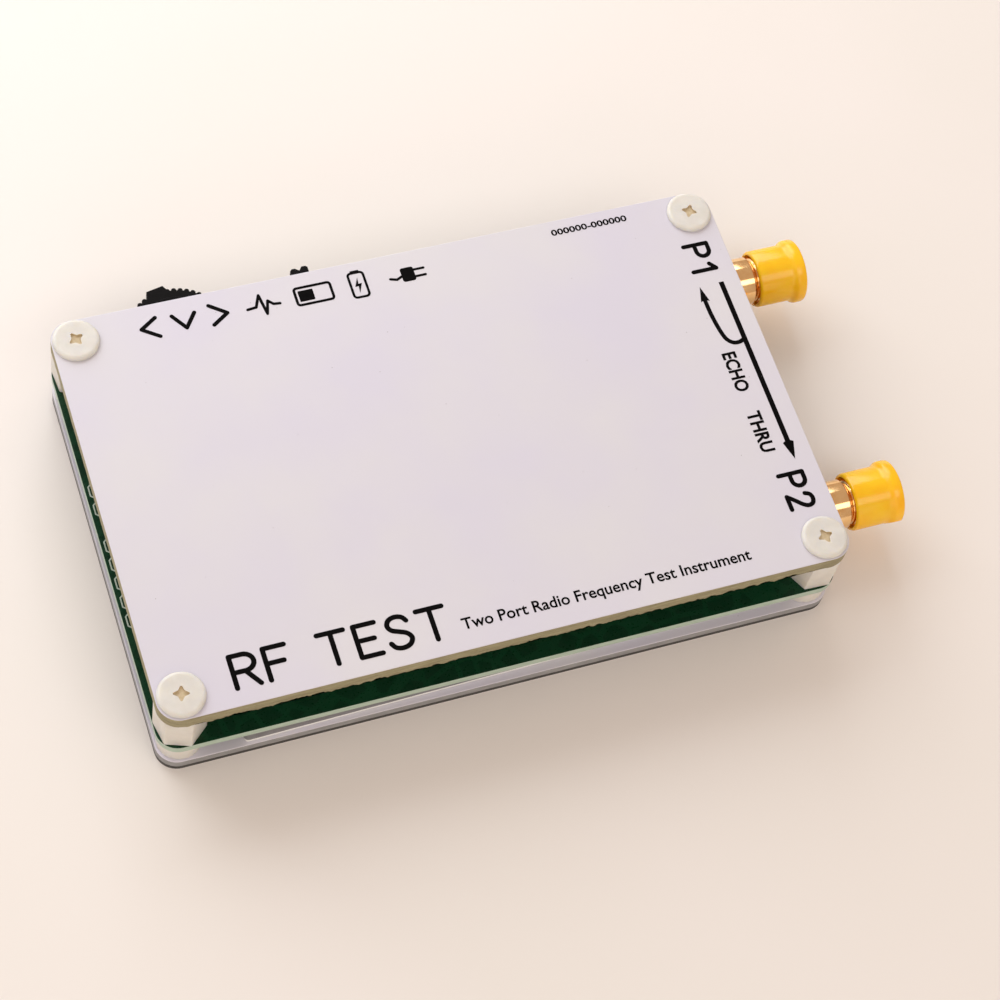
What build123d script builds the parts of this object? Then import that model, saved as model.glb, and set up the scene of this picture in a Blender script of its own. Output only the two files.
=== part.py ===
from build123d import *

import os
from math import cos, radians, sin

# A pocket vector network analyzer, lying screen down, as a stack of three boards
# held by nylon screws and standoffs. Millimetres, +X towards the two coaxial ports,
# +Y towards the jog knob, power switch and USB socket, +Z up through the rear cover.
# Everything is modelled about the middle of the boards' outline, with z = 0 on the
# face it rests on, and moved to the origin of the whole instrument when it is saved.

# The three boards share one outline and one pattern of corner holes.
LENGTH = 85.5
WIDTH = 54.0
CORNER_R = 2.7
HOLE_INSET = 3.0
HOLE_R = 1.6
HOLE_X = LENGTH / 2 - HOLE_INSET
HOLE_Y = WIDTH / 2 - HOLE_INSET
CORNER_SIGNS = [(-1, -1), (1, -1), (1, 1), (-1, 1)]
HEADER_X = -40.9
HEADER_PITCH = 2.54
HEADER_HOLE_R = 0.5
HEADER_YS = [7.94 - HEADER_PITCH * k for k in range(2)] + [0.32 - HEADER_PITCH * k for k in range(5)]

# The stack, from the resting face up.
PANEL_T = 2.0
SPACER_H = 3.0
BOARD_T = 1.2
STANDOFF_H = 6.0
COVER_T = 2.0
PANEL_TOP = PANEL_T
BOARD_BOTTOM = PANEL_TOP + SPACER_H
BOARD_TOP = BOARD_BOTTOM + BOARD_T
COVER_BOTTOM = BOARD_TOP + STANDOFF_H
COVER_TOP = COVER_BOTTOM + COVER_T

# Nylon M3 fasteners.
SCREW_R = 1.45
THREAD_BORE_R = 1.5
HEAD_R = 2.85
HEAD_H = 0.6
HEAD_ROUND = 0.4
SINK_H = 1.5
SINK_R = 2.9
SHANK_REACH = 2.7
RECESS = 1.7
RECESS_W = 0.5
RECESS_DEPTH = 0.45
STANDOFF_AF = 5.5
STANDOFF_TURNS = {(-1, -1): 41.0, (1, -1): 58.0, (1, 1): 12.0, (-1, 1): 35.0}
SCREW_TURNS = {(-1, -1): 77.0, (1, -1): 14.0, (1, 1): 63.0, (-1, 1): 27.0}
SPACER_R = 2.75

# The display module sits a little askew between the front panel and the main board.
LCD_L = 69.2
LCD_W = 50.0
LCD_X = 1.6
LCD_Y = -1.1
LCD_TILT = 1.0
TOUCH_T = 0.7
TAPE_T = 0.2
TAPE_L = 60.0
TAPE_W = 4.0
TAPE_Y = 18.0
TRAY_WALL = 1.2
RIBBON_W = 20.0
RIBBON_T = 0.12
WINDOW_L = 58.6
WINDOW_W = 44.6
WINDOW_Y = -0.6

# Coaxial ports on the board's right edge. The centre pin lies on the board's top.
PORT_Y = 16.85
PIN_R = 0.45
PORT_Z = BOARD_TOP + PIN_R
COLLAR_R = 3.1
THREAD_R = 3.175
THREAD_PITCH = 25.4 / 36
THREAD_DEPTH = 0.42
PORT_X = LENGTH / 2 + 0.1
COLLAR_END = PORT_X + 4.3
COLLAR_CHAMFER = 0.4
THREAD_START = COLLAR_END + 0.2
THREAD_TURNS = 8
PORT_END = THREAD_START + THREAD_TURNS * THREAD_PITCH
BORE_R = 2.3
BORE_FLOOR = PORT_END - 1.9
DIELECTRIC_R = 2.05
FLANGE_T = 0.6
SOCKET_R = 0.635
SOCKET_BORE_R = 0.47
SOCKET_SLOT = 0.16
LEG = 0.9
LEG_REACH = 4.4
LEG_Y = 2.2

# Push-on dust caps.
CAP_START = 47.3
CAP_END = 53.65
CAP_WALL = 0.5
CAP_FIT = 0.05
CAP_R = 3.68
CAP_RIM_R = 4.1
CAP_RIM_W = 1.05
CAP_FLARE = 1.05
CAP_ROUND = 0.3
CAP_FLAT = 3.75
CAP_FLAT_TURNS = {1: 25.5, -1: -64.7}

# Jog switch: a knob that turns both ways on a carrier that pushes in.
JOG_X = -26.6
JOG_Y = 25.2
JOG_R = 6.15
JOG_HUB_R = 2.2
JOG_TOOTH_R = 0.33
JOG_TOOTH_STEP = 7.5
JOG_HALF_ANGLE = 60.0
JOG_BUMP_TURN = 11.0
JOG_FLOOR = BOARD_TOP + 0.7
JOG_PLATE = (JOG_FLOOR + 0.1, JOG_FLOOR + 0.6)
JOG_DISC = (JOG_FLOOR + 0.7, JOG_FLOOR + 2.4)
JOG_LID = (JOG_FLOOR + 2.6, JOG_FLOOR + 2.9)
JOG_POST_R = 0.9
JOG_POST_GAP = 0.05

# Power switch: a notched slider in a metal shell, resting at the +X end.
SWITCH_X = -10.65
SWITCH_TRAVEL = 2.0
SWITCH_L = 8.6
SWITCH_W = 4.3
SWITCH_H = 3.7
SWITCH_Y = WIDTH / 2 - 0.2 - SWITCH_W / 2
TAB_W = 2.3
TAB_END = 31.0
TAB_Z = (BOARD_TOP + 1.2, BOARD_TOP + 2.9)

# USB-C socket.
USB_X = 2.0
USB_L = 7.35
USB_W = 8.94
USB_H = 3.26
USB_WALL = 0.3
USB_Y = WIDTH / 2 + 0.3

# Battery, its foam pad and its leads.
CELL_L = 30.0
CELL_W = 36.0
CELL_T = 4.0
CELL_SEAL = 1.2
CELL_X = -9.0
CELL_Y = -1.5
PAD_T = 0.5
LEAD_R = 0.4
LEAD_GAP = 1.25
LEAD_BEND_R = 1.1
LEAD_RUN_YS = {1: -23.3, -1: -22.1}
SOCKET = (12.4, -16.4)
PLUG_Z = BOARD_TOP + 1.5

# Places of the packages on the main board, and the sizes of the commonest kinds.
MCU = (-33.4, -7.0)
CODEC = (15.5, -3.5)
CLOCK = (15.0, 9.5)
MIXERS = [(27.5, 11.0), (27.5, 0.0), (27.5, -11.0)]
CHARGER = (13.2, 20.6)
REGULATORS = [(-35.4, 12.4), (-30.6, 12.4)]
INDUCTOR = (20.6, 20.8)
SO8 = (3.9, 4.9, 1.45)
CHIP_L = 1.6
CHIP_W = 0.8
CAPACITOR_H = 0.8
RESISTOR_H = 0.45

# Position of the two indicator lights along the back edge.
STATUS_X = -16.55
CHARGE_X = -4.4
LED_Y = WIDTH / 2 - 1.0


def block(x, y, z):
    """A box from three (low, high) pairs."""
    size = [pair[1] - pair[0] for pair in (x, y, z)]
    middle = [(pair[0] + pair[1]) / 2 for pair in (x, y, z)]
    return Pos(*middle) * Box(*size)


def slab(length, width, corner, z, thickness):
    """A plate with rounded corners, standing on height z."""
    return Pos(0, 0, z) * extrude(RectangleRounded(length, width, corner), thickness)


def disc(radius, z, height):
    """An upright cylinder standing on height z."""
    return Pos(0, 0, z + height / 2) * Cylinder(radius, height)


def lying(radius, x, length):
    """A cylinder along +X from x, about the X axis."""
    return Pos(x + length / 2, 0, 0) * Rot(0, 90, 0) * Cylinder(radius, length)


def corners():
    """The signs and the place of each corner hole."""
    return [(signs, Pos(signs[0] * HOLE_X, signs[1] * HOLE_Y, 0)) for signs in CORNER_SIGNS]


def board(z, thickness):
    """A bare board with the shared outline and its four corner holes."""
    plate = slab(LENGTH, WIDTH, CORNER_R, z, thickness)
    for _, place in corners():
        plate -= place * disc(HOLE_R, z - 1, thickness + 2)
    return plate


# ---------------------------------------------------------------- boards and fasteners


def rear_cover():
    return board(COVER_BOTTOM, COVER_T)


def main_board():
    """The circuit board, with the holes of two pin headers along its left edge."""
    plate = board(BOARD_BOTTOM, BOARD_T)
    for y in HEADER_YS:
        plate -= Pos(HEADER_X, y, 0) * disc(HEADER_HOLE_R, BOARD_BOTTOM - 1, BOARD_T + 2)
    return plate


def front_panel():
    """The white front board: display window and countersunk corner holes."""
    plate = board(0, PANEL_T)
    window = slab(WINDOW_L, WINDOW_W, 1.0, -1, PANEL_T + 2)
    plate -= Pos(LCD_X, WINDOW_Y, 0) * window
    for _, place in corners():
        plate -= place * Pos(0, 0, SINK_H / 2) * Cone(SINK_R + 0.05, HOLE_R, SINK_H)
    return plate


def cross_recess(z, depth):
    """The cutter of a cross recess whose mouth is at height z and which goes down."""
    low, high = sorted((z, z - depth))
    arm = block((-RECESS / 2, RECESS / 2), (-RECESS_W / 2, RECESS_W / 2), (low, high))
    return arm + Rot(0, 0, 90) * arm + disc(RECESS * 0.3, low, high - low)


def rear_screw(turn):
    """A pan-head screw into the top half of a standoff."""
    head = disc(HEAD_R, COVER_TOP, HEAD_H)
    head = fillet(head.edges().group_by(Axis.Z)[-1], HEAD_ROUND)
    shank = disc(SCREW_R, COVER_BOTTOM - SHANK_REACH, COVER_T + SHANK_REACH)
    return head + shank - Rot(0, 0, turn) * cross_recess(COVER_TOP + HEAD_H, RECESS_DEPTH)


def front_screw(turn):
    """A countersunk screw, flush with the front panel, into a standoff's lower half."""
    head_h = SINK_H - 0.1
    head = Pos(0, 0, head_h / 2) * Cone(SINK_R, SCREW_R, head_h)
    shank = disc(SCREW_R, head_h, BOARD_TOP + SHANK_REACH - head_h)
    return head + shank - Rot(0, 0, turn) * cross_recess(0, -RECESS_DEPTH)


def standoff(turn):
    """A tapped hexagonal standoff with a corner facing the given way."""
    hexagon = RegularPolygon(STANDOFF_AF / 2, 6, major_radius=False, rotation=turn)
    body = Pos(0, 0, BOARD_TOP) * extrude(hexagon, STANDOFF_H)
    return body - disc(THREAD_BORE_R, BOARD_TOP - 1, STANDOFF_H + 2)


def panel_spacer():
    ring = disc(SPACER_R, PANEL_TOP, SPACER_H)
    return ring - disc(HOLE_R, PANEL_TOP - 1, SPACER_H + 2)


# ---------------------------------------------------------------- display


def in_display(shape):
    """Places a piece of the display, which is turned a little in its plane."""
    return Pos(LCD_X, LCD_Y, 0) * Rot(0, 0, LCD_TILT) * shape


def touch_panel():
    return in_display(slab(LCD_L - 0.2, LCD_W - 0.2, 0.5, PANEL_TOP, TOUCH_T))


def lcd_frame():
    """The display's tray, open towards the front, where the glass sits."""
    low = PANEL_TOP + TOUCH_T
    tray = slab(LCD_L, LCD_W, 0.6, low, BOARD_BOTTOM - TAPE_T - low)
    tray -= slab(LCD_L - 2 * TRAY_WALL, LCD_W - 2 * TRAY_WALL, 0.3, low, 1.2)
    return in_display(tray)


def lcd_glass():
    inset = 2 * TRAY_WALL + 0.2
    return in_display(slab(LCD_L - inset, LCD_W - inset, 0.3, PANEL_TOP + TOUCH_T + 0.05, 1.15))


def lcd_tape():
    strip = slab(TAPE_L, TAPE_W, 0.2, BOARD_BOTTOM - TAPE_T, TAPE_T)
    return Compound([in_display(Pos(0, side * TAPE_Y, 0) * strip) for side in (-1, 1)])


def lcd_ribbon():
    """The flat cable from the display's end up to its pads under the main board."""
    start = LCD_X + LCD_L / 2 + 0.75
    low = PANEL_TOP + TOUCH_T + 1.0
    high = BOARD_BOTTOM - 0.08
    rise = [(start + 1.4, low), (start + 2.6, high)]
    path = FilletPolyline((start, low), *rise, (start + 4.6, high), radius=0.45)
    return Pos(0, RIBBON_W / 2, 0) * Rot(90, 0, 0) * extrude(trace(path, RIBBON_T), RIBBON_W)


# ---------------------------------------------------------------- coaxial ports and caps


def port_profile():
    """Half the outline of a port's metal body: distance along the axis and radius."""
    root = THREAD_R - THREAD_DEPTH
    points = [(PORT_X, COLLAR_R), (COLLAR_END - COLLAR_CHAMFER, COLLAR_R)]
    points += [(COLLAR_END, COLLAR_R - COLLAR_CHAMFER), (THREAD_START, root - 0.1), (THREAD_START, root)]
    for k in range(THREAD_TURNS):
        x = THREAD_START + k * THREAD_PITCH
        points.append((x + 0.12 * THREAD_PITCH, root))
        points.append((x + 0.44 * THREAD_PITCH, THREAD_R))
        points.append((x + 0.56 * THREAD_PITCH, THREAD_R))
        points.append((x + 0.88 * THREAD_PITCH, root))
    points += [(PORT_END, root), (PORT_END, BORE_R), (BORE_FLOOR, BORE_R), (BORE_FLOOR, DIELECTRIC_R)]
    points += [(PORT_X + FLANGE_T, DIELECTRIC_R), (PORT_X + FLANGE_T, PIN_R + 0.25), (PORT_X, PIN_R + 0.25)]
    return points


def port_body(side):
    """A port's gold body with four legs that straddle the board's edge."""
    outline = make_face(Polyline(*port_profile(), close=True))
    body = Pos(0, side * PORT_Y, PORT_Z) * revolve(Plane.XY * outline, Axis.X)
    for y in (-LEG_Y, LEG_Y):
        for z in ((BOARD_TOP, BOARD_TOP + LEG), (BOARD_BOTTOM - LEG, BOARD_BOTTOM)):
            middle = side * PORT_Y + y
            body += block((PORT_X - LEG_REACH, PORT_X + 0.2), (middle - LEG / 2, middle + LEG / 2), z)
    return body


def port_insulator(side):
    """The white sleeve that holds a port's centre contact."""
    start = PORT_X + FLANGE_T
    sleeve = lying(DIELECTRIC_R, start, BORE_FLOOR - start)
    sleeve -= lying(SOCKET_R + 0.015, start - 1, BORE_FLOOR - start + 2)
    return Pos(0, side * PORT_Y, PORT_Z) * sleeve


def port_contact(side):
    """A port's centre contact, from its pin on the board to its split socket."""
    pin = lying(PIN_R, PORT_X - 2.2, 2.9)
    barrel = lying(SOCKET_R, PORT_X + 0.7, BORE_FLOOR - PORT_X - 0.7)
    bore = lying(SOCKET_BORE_R, BORE_FLOOR - 2.5, 2.6)
    slot = block((BORE_FLOOR - 1.8, PORT_END), (-1, 1), (-SOCKET_SLOT / 2, SOCKET_SLOT / 2))
    return Pos(0, side * PORT_Y, PORT_Z) * (pin + barrel - bore - slot)


def dust_cap(side):
    """A moulded cap: a sleeve over the thread that flares to a rim with one flat."""
    rim = CAP_END - CAP_RIM_W
    outline = Polyline(
        (0, CAP_START), (CAP_R, CAP_START), (CAP_R, rim - CAP_FLARE), (CAP_RIM_R, rim),
        (CAP_RIM_R, CAP_END), (0, CAP_END), close=True,
    )
    cap = revolve(Plane.XZ * make_face(outline), Axis.Z)
    cap = fillet(cap.edges().group_by(Axis.Z)[-1], CAP_ROUND)
    flat = block((CAP_FLAT, CAP_FLAT + 1), (-CAP_RIM_R, CAP_RIM_R), (rim - CAP_FLARE, CAP_END + 1))
    cap -= Rot(0, 0, CAP_FLAT_TURNS[side]) * flat
    cap -= disc(THREAD_R + CAP_FIT, CAP_START - 1, CAP_END - CAP_WALL - CAP_START + 1)
    return Pos(0, side * PORT_Y, PORT_Z) * Rot(0, 90, 0) * cap


# ---------------------------------------------------------------- jog switch


def at_jog(shape):
    return Pos(JOG_X, JOG_Y, 0) * shape


def jog_switch_body():
    """The black base: a floor, a block behind and two short side walls."""
    base = block((-5.0, 5.0), (-5.2, 1.6), (BOARD_TOP, JOG_FLOOR))
    base += block((-5.0, 5.0), (-5.2, -3.2), (BOARD_TOP, JOG_LID[0]))
    for side in (-1, 1):
        x = sorted((side * 4.3, side * 5.0))
        base += block(x, (-5.2, 0.4), (BOARD_TOP, JOG_LID[0]))
        x = sorted((side * 2.15, side * 2.6))
        base += block(x, (-3.4, 1.3), (JOG_FLOOR, JOG_PLATE[1] - 0.1))
    return at_jog(base)


def jog_switch_cover():
    """The bent metal plate over the switch, with a leg down each side."""
    plate = block((-5.25, 5.25), (-5.2, 1.0), JOG_LID)
    for side in (-1, 1):
        x = sorted((side * 5.0, side * 5.25))
        plate += block(x, (-4.4, -1.2), (BOARD_TOP, JOG_LID[0]))
    return at_jog(plate)


def jog_carrier():
    """The plunger plate that slides in the base and carries the knob's post."""
    plate = block((-2.0, 2.0), (-2.5, 1.2), JOG_PLATE)
    return at_jog(plate + disc(JOG_POST_R, JOG_PLATE[1], JOG_DISC[1] - JOG_PLATE[1] + 0.05))


def jog_sector():
    """The knob's plan: a sector with a hub, a toothed rim and a flat thumb bump."""
    half = radians(JOG_HALF_ANGLE)
    far = 2 * JOG_R
    side, level = far * sin(half), far * cos(half)
    wedge = Polygon((0, 0), (side, level), (side, far), (-side, far), (-side, level), align=None)
    plan = (Circle(JOG_R) & wedge) + Circle(JOG_HUB_R)
    steps = int(2 * (JOG_HALF_ANGLE - 2) / JOG_TOOTH_STEP)
    for k in range(steps + 1):
        turn = radians(-steps * JOG_TOOTH_STEP / 2 + k * JOG_TOOTH_STEP)
        plan += Pos(JOG_R * sin(turn), JOG_R * cos(turn)) * Circle(JOG_TOOTH_R)
    bump = Polygon((1.75, 5.2), (1.1, 6.95), (-1.1, 6.95), (-1.75, 5.2), align=None)
    return plan + Rot(0, 0, JOG_BUMP_TURN) * bump


def jog_knob():
    body = Pos(0, 0, JOG_DISC[0]) * extrude(jog_sector(), JOG_DISC[1] - JOG_DISC[0])
    body -= disc(JOG_POST_R + JOG_POST_GAP, JOG_DISC[0] - 1, 5)
    return at_jog(body)


# ---------------------------------------------------------------- power switch


def at_switch(shape):
    return Pos(SWITCH_X, SWITCH_Y, 0) * shape


def power_switch_base():
    """The moulded floor of the switch, with its three terminals as one piece."""
    half_l, half_w = SWITCH_L / 2 - 0.3, SWITCH_W / 2 - 0.3
    return at_switch(block((-half_l, half_l), (-half_w, half_w), (BOARD_TOP, BOARD_TOP + 0.7)))


def power_switch_shell():
    """The folded metal shell, with a slot in the back for the slider's tab."""
    half_l, half_w = SWITCH_L / 2, SWITCH_W / 2
    top = BOARD_TOP + SWITCH_H
    shell = block((-half_l, half_l), (-half_w, half_w), (BOARD_TOP, top))
    shell -= block((-half_l + 0.3, half_l - 0.3), (-half_w + 0.3, half_w - 0.3), (BOARD_TOP - 1, top - 0.3))
    reach = (TAB_W + SWITCH_TRAVEL) / 2 + 0.2
    shell -= block((-reach, reach), (half_w - 1, half_w + 1), (TAB_Z[0] - 0.15, TAB_Z[1] + 0.15))
    return at_switch(shell)


def power_switch_slider():
    """The black slider: a block inside the shell and a V-notched tab outside."""
    x = SWITCH_TRAVEL / 2
    inner = block((x - 1.9, x + 1.9), (-1.2, 1.6), (BOARD_TOP + 0.85, BOARD_TOP + 3.2))
    end = TAB_END - SWITCH_Y
    half = TAB_W / 2
    tab = Polygon(
        (-half, 1.5), (half, 1.5), (half, end - 0.2), (half - 0.25, end), (half - 0.75, end),
        (0, end - 0.85), (-half + 0.6, end - 0.1), (-half + 0.25, end - 0.1), (-half, end - 0.35), align=None,
    )
    tab = Pos(x, 0, TAB_Z[0]) * extrude(tab, TAB_Z[1] - TAB_Z[0])
    return at_switch(inner + tab)


# ---------------------------------------------------------------- USB socket


def usb_profile(inset):
    return RectangleRounded(USB_W - 2 * inset, USB_H - 2 * inset, USB_H / 2 - inset - 0.05)


def along_back(plan, start, length):
    """Extrudes an upright outline towards -Y from the given y."""
    return Pos(USB_X, start, BOARD_TOP + USB_H / 2) * Rot(90, 0, 0) * extrude(plan, length)


def usb_shell():
    shell = along_back(usb_profile(0), USB_Y, USB_L) - along_back(usb_profile(USB_WALL), USB_Y + 1, USB_L + 2)
    for side in (-1, 1):
        for y in (USB_Y - 1.9, USB_Y - 6.1):
            x = sorted((USB_X + side * (USB_W / 2 - 0.25), USB_X + side * (USB_W / 2)))
            shell += block(x, (y - 0.5, y + 0.5), (BOARD_TOP, BOARD_TOP + USB_H / 2))
    return shell


def usb_tongue():
    """The plastic insert: a plug that closes the shell and the tongue in its mouth."""
    insert = along_back(usb_profile(USB_WALL), USB_Y - 5.6, USB_L - 5.6)
    return insert + along_back(RectangleRounded(6.7, 0.7, 0.2), USB_Y - 0.9, 5.0)


def usb_contacts():
    """Two rows of twelve contacts on the tongue."""
    pads = []
    for row in (-1, 1):
        z = BOARD_TOP + USB_H / 2 + row * 0.35
        low, high = sorted((z, z + row * 0.06))
        for k in range(12):
            x = USB_X - 2.75 + 0.5 * k
            pads.append(block((x - 0.12, x + 0.12), (USB_Y - 5.4, USB_Y - 1.5), (low, high)))
    return Compound(pads)


# ---------------------------------------------------------------- chips and small parts


def chip(x, y, length, width, height, lift=0.1):
    """A moulded package with a dimple over pin one."""
    body = block((-length / 2, length / 2), (-width / 2, width / 2), (BOARD_TOP + lift, BOARD_TOP + height))
    body = chamfer(body.edges().group_by(Axis.Z)[-1], 0.12)
    body -= Pos(-length / 2 + 0.7, -width / 2 + 0.7, 0) * disc(0.25, BOARD_TOP + height - 0.08, 1)
    return Pos(x, y, 0) * body


def gull_leads(x, y, reach, width, pitch, count, turn=0.0, foot=0.7):
    """One row of bent leads along the +X side of a package, turned about its middle."""
    outline = Polyline(
        (reach, 0.6), (reach + 0.45, 0.6), (reach + 0.55, 0.13), (reach + 0.55 + foot, 0.13),
        (reach + 0.55 + foot, 0), (reach + 0.42, 0), (reach + 0.33, 0.47), (reach, 0.47), close=True,
    )
    lead = Pos(0, width / 2, BOARD_TOP) * Rot(90, 0, 0) * extrude(make_face(outline), width)
    middle = (count - 1) / 2
    return [Pos(x, y, 0) * Rot(0, 0, turn) * Pos(0, (k - middle) * pitch, 0) * lead for k in range(count)]


def ic_leads():
    """The leads of every gull-wing package, as one group."""
    leads = []
    for turn in (0, 90, 180, 270):
        leads += gull_leads(*MCU, 3.5, 0.22, 0.5, 12, turn, 0.45)
    for turn in (0, 180):
        leads += gull_leads(*CLOCK, 1.5, 0.2, 0.5, 5, turn, 0.45)
        leads += gull_leads(*CHARGER, 1.95, 0.42, 1.27, 4, turn)
        for mixer in MIXERS:
            leads += gull_leads(*mixer, 1.95, 0.42, 1.27, 4, turn)
    return Compound(leads)


def mixer_chips():
    return Compound([chip(x, y, *SO8) for x, y in MIXERS])


def regulator_chips():
    """Two small regulators, each with its three leads joined to its body."""
    group = []
    for x, y in REGULATORS:
        body = chip(x, y, 1.3, 2.9, 1.1)
        for side, rows in ((1, (0.0,)), (-1, (-0.95, 0.95))):
            for row in rows:
                reach = sorted((x + side * 0.6, x + side * 1.25))
                body += block(reach, (y + row - 0.2, y + row + 0.2), (BOARD_TOP, BOARD_TOP + 0.25))
        group.append(body)
    return Compound(group)


def metal_can(x, y, length, width, height):
    """A small soldered can with rounded corners and a softened lid."""
    body = Pos(x, y, 0) * slab(length, width, 0.35, BOARD_TOP, height)
    return fillet(body.edges().group_by(Axis.Z)[-1], 0.15)


def power_inductor():
    """A square shielded inductor with a round core in its top."""
    body = slab(4.2, 4.2, 0.8, BOARD_TOP, 2.0)
    body -= disc(1.75, BOARD_TOP + 1.75, 1)
    body += disc(1.5, BOARD_TOP + 1.7, 0.25)
    return Pos(*INDUCTOR, 0) * body


def passives(places, height):
    """A group of chip components, each (x, y, quarter turns)."""
    body = slab(CHIP_L, CHIP_W, 0.05, BOARD_TOP, height)
    return Compound([Pos(x, y, 0) * Rot(0, 0, 90 * turns) * body for x, y, turns in places])


def ladder(x, y, dx, dy, count, turns=0):
    """Evenly spaced places along a straight row."""
    return [(x + k * dx, y + k * dy, turns) for k in range(count)]


def chip_capacitors():
    rows = ladder(22.6, 15.5, 0, -1.5, 3) + ladder(22.6, 4.4, 0, -1.5, 3) + ladder(22.6, -6.6, 0, -1.5, 3)
    rows += ladder(-38.2, -14.6, 2.1, 0, 5, 1) + ladder(10.4, 14.6, 2.1, 0, 4, 1)
    rows += ladder(9.6, 1.6, 0, -2.2, 5)
    return passives(rows, CAPACITOR_H)


def chip_resistors():
    rows = ladder(34.2, 17.6, 0, -1.3, 4) + ladder(34.2, 3.8, 0, -1.3, 6) + ladder(34.2, -14.0, 0, -1.3, 4)
    rows += ladder(-38.4, 1.4, 2.2, 0, 2, 1) + ladder(20.5, -8.0, 0, -1.4, 4)
    return passives(rows, RESISTOR_H)


def led(x):
    """An indicator light: a flat base with a clear block on it."""
    base = block((x - 0.8, x + 0.8), (LED_Y - 0.4, LED_Y + 0.4), (BOARD_TOP, BOARD_TOP + 0.25))
    return base + block((x - 0.5, x + 0.5), (LED_Y - 0.4, LED_Y + 0.4), (BOARD_TOP + 0.25, BOARD_TOP + 0.65))


# ---------------------------------------------------------------- battery


def battery_pad():
    return Pos(CELL_X, CELL_Y, 0) * slab(CELL_L - 4, CELL_W - 6, 1, BOARD_TOP, PAD_T)


def battery_cell():
    """A pouch cell with softened long edges and a folded seal at its front end."""
    low = BOARD_TOP + PAD_T
    pouch = slab(CELL_L, CELL_W, 1.2, low, CELL_T)
    pouch = fillet(pouch.edges().filter_by(Plane.XY), 0.9)
    front = -CELL_W / 2
    half = CELL_L / 2 - 1.5
    seal = block((-half, half), (front - CELL_SEAL, front + 2), (low + 1.1, low + 2.3))
    return Pos(CELL_X, CELL_Y, 0) * (pouch + seal)


def battery_socket():
    """The open header on the board that takes the battery's plug."""
    x, y = SOCKET
    body = block((x - 2.6, x + 2.6), (y - 1.6, y + 2.0), (BOARD_TOP, BOARD_TOP + 2.9))
    return body - block((x - 2.1, x + 2.1), (y - 2, y + 1.3), (BOARD_TOP + 0.5, BOARD_TOP + 2.5))


def battery_plug():
    """The plug in that header, with a hole for each lead in its back."""
    x, y = SOCKET
    body = block((x - 2.05, x + 2.05), (y - 2.6, y + 1.2), (BOARD_TOP + 0.55, BOARD_TOP + 2.45))
    for side in (-1, 1):
        hole = Rot(90, 0, 0) * Cylinder(LEAD_R, 2)
        body -= Pos(x + side * LEAD_GAP / 2, y - 2.6, PLUG_Z) * hole
    return body


def battery_lead(side):
    """One insulated lead, from the cell's front end round to its hole in the plug."""
    x, y = SOCKET
    start_x = 2.2 - side * 0.7
    end_x = x + side * LEAD_GAP / 2
    run_y = LEAD_RUN_YS[side]
    start_z = BOARD_TOP + PAD_T + 1.7
    front = CELL_Y - CELL_W / 2 - CELL_SEAL
    route = FilletPolyline(
        (start_x, front, start_z), (start_x, run_y, start_z), (end_x, run_y, PLUG_Z),
        (end_x, y - 1.7, PLUG_Z), radius=LEAD_BEND_R,
    )
    return sweep(Plane(route @ 0, z_dir=route % 0) * Circle(LEAD_R), route)


# ---------------------------------------------------------------- saving


def grouped(make, turns):
    """One group of four corner pieces, each with its own turn."""
    return Compound([place * make(turns[signs]) for signs, place in corners()])


def all_nodes():
    nodes = {
        "rear_cover": rear_cover(),
        "rear_screws": grouped(rear_screw, SCREW_TURNS),
        "standoffs": grouped(standoff, STANDOFF_TURNS),
        "main_board": main_board(),
        "panel_spacers": Compound([place * panel_spacer() for _, place in corners()]),
        "front_panel": front_panel(),
        "front_screws": grouped(front_screw, SCREW_TURNS),
        "touch_panel": touch_panel(),
        "lcd_frame": lcd_frame(),
        "lcd_glass": lcd_glass(),
        "lcd_tape": lcd_tape(),
        "lcd_ribbon": lcd_ribbon(),
        "jog_switch_body": jog_switch_body(),
        "jog_switch_cover": jog_switch_cover(),
        "jog_carrier": jog_carrier(),
        "jog_knob": jog_knob(),
        "power_switch_base": power_switch_base(),
        "power_switch_shell": power_switch_shell(),
        "power_switch_slider": power_switch_slider(),
        "usb_shell": usb_shell(),
        "usb_tongue": usb_tongue(),
        "usb_contacts": usb_contacts(),
        "mcu_chip": chip(*MCU, 7, 7, 1.4),
        "codec_chip": chip(*CODEC, 5, 5, 0.9, 0.0),
        "clock_chip": chip(*CLOCK, 3, 3, 0.95),
        "charger_chip": chip(*CHARGER, *SO8),
        "mixer_chips": mixer_chips(),
        "regulator_chips": regulator_chips(),
        "ic_leads": ic_leads(),
        "reference_oscillator": metal_can(9.4, 9.6, 3.2, 2.5, 0.9),
        "mcu_crystal": metal_can(-33.4, 2.4, 3.2, 2.5, 0.8),
        "power_inductor": power_inductor(),
        "chip_capacitors": chip_capacitors(),
        "chip_resistors": chip_resistors(),
        "status_led": led(STATUS_X),
        "charge_led": led(CHARGE_X),
        "battery_pad": battery_pad(),
        "battery_cell": battery_cell(),
        "battery_socket": battery_socket(),
        "battery_plug": battery_plug(),
        "battery_lead_red": battery_lead(1),
        "battery_lead_black": battery_lead(-1),
    }
    for side, name in ((1, "tx"), (-1, "rx")):
        nodes[f"port_{name}_body"] = port_body(side)
        nodes[f"port_{name}_insulator"] = port_insulator(side)
        nodes[f"port_{name}_contact"] = port_contact(side)
        nodes[f"cap_{name}"] = dust_cap(side)
    return nodes


def main():
    os.makedirs("parts", exist_ok=True)
    nodes = all_nodes()
    whole = Compound(list(nodes.values())).bounding_box()
    origin = Pos(-whole.center().X, -whole.center().Y, 0)
    print("outline centre from the origin:", origin.position)
    for name, shape in nodes.items():
        export_step(origin * shape, f"parts/{name}.step")


main()
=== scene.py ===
from math import atan2, cos, hypot, pi, radians, sin, sqrt

import bmesh
import bpy
from mathutils import Matrix, Vector, noise


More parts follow.
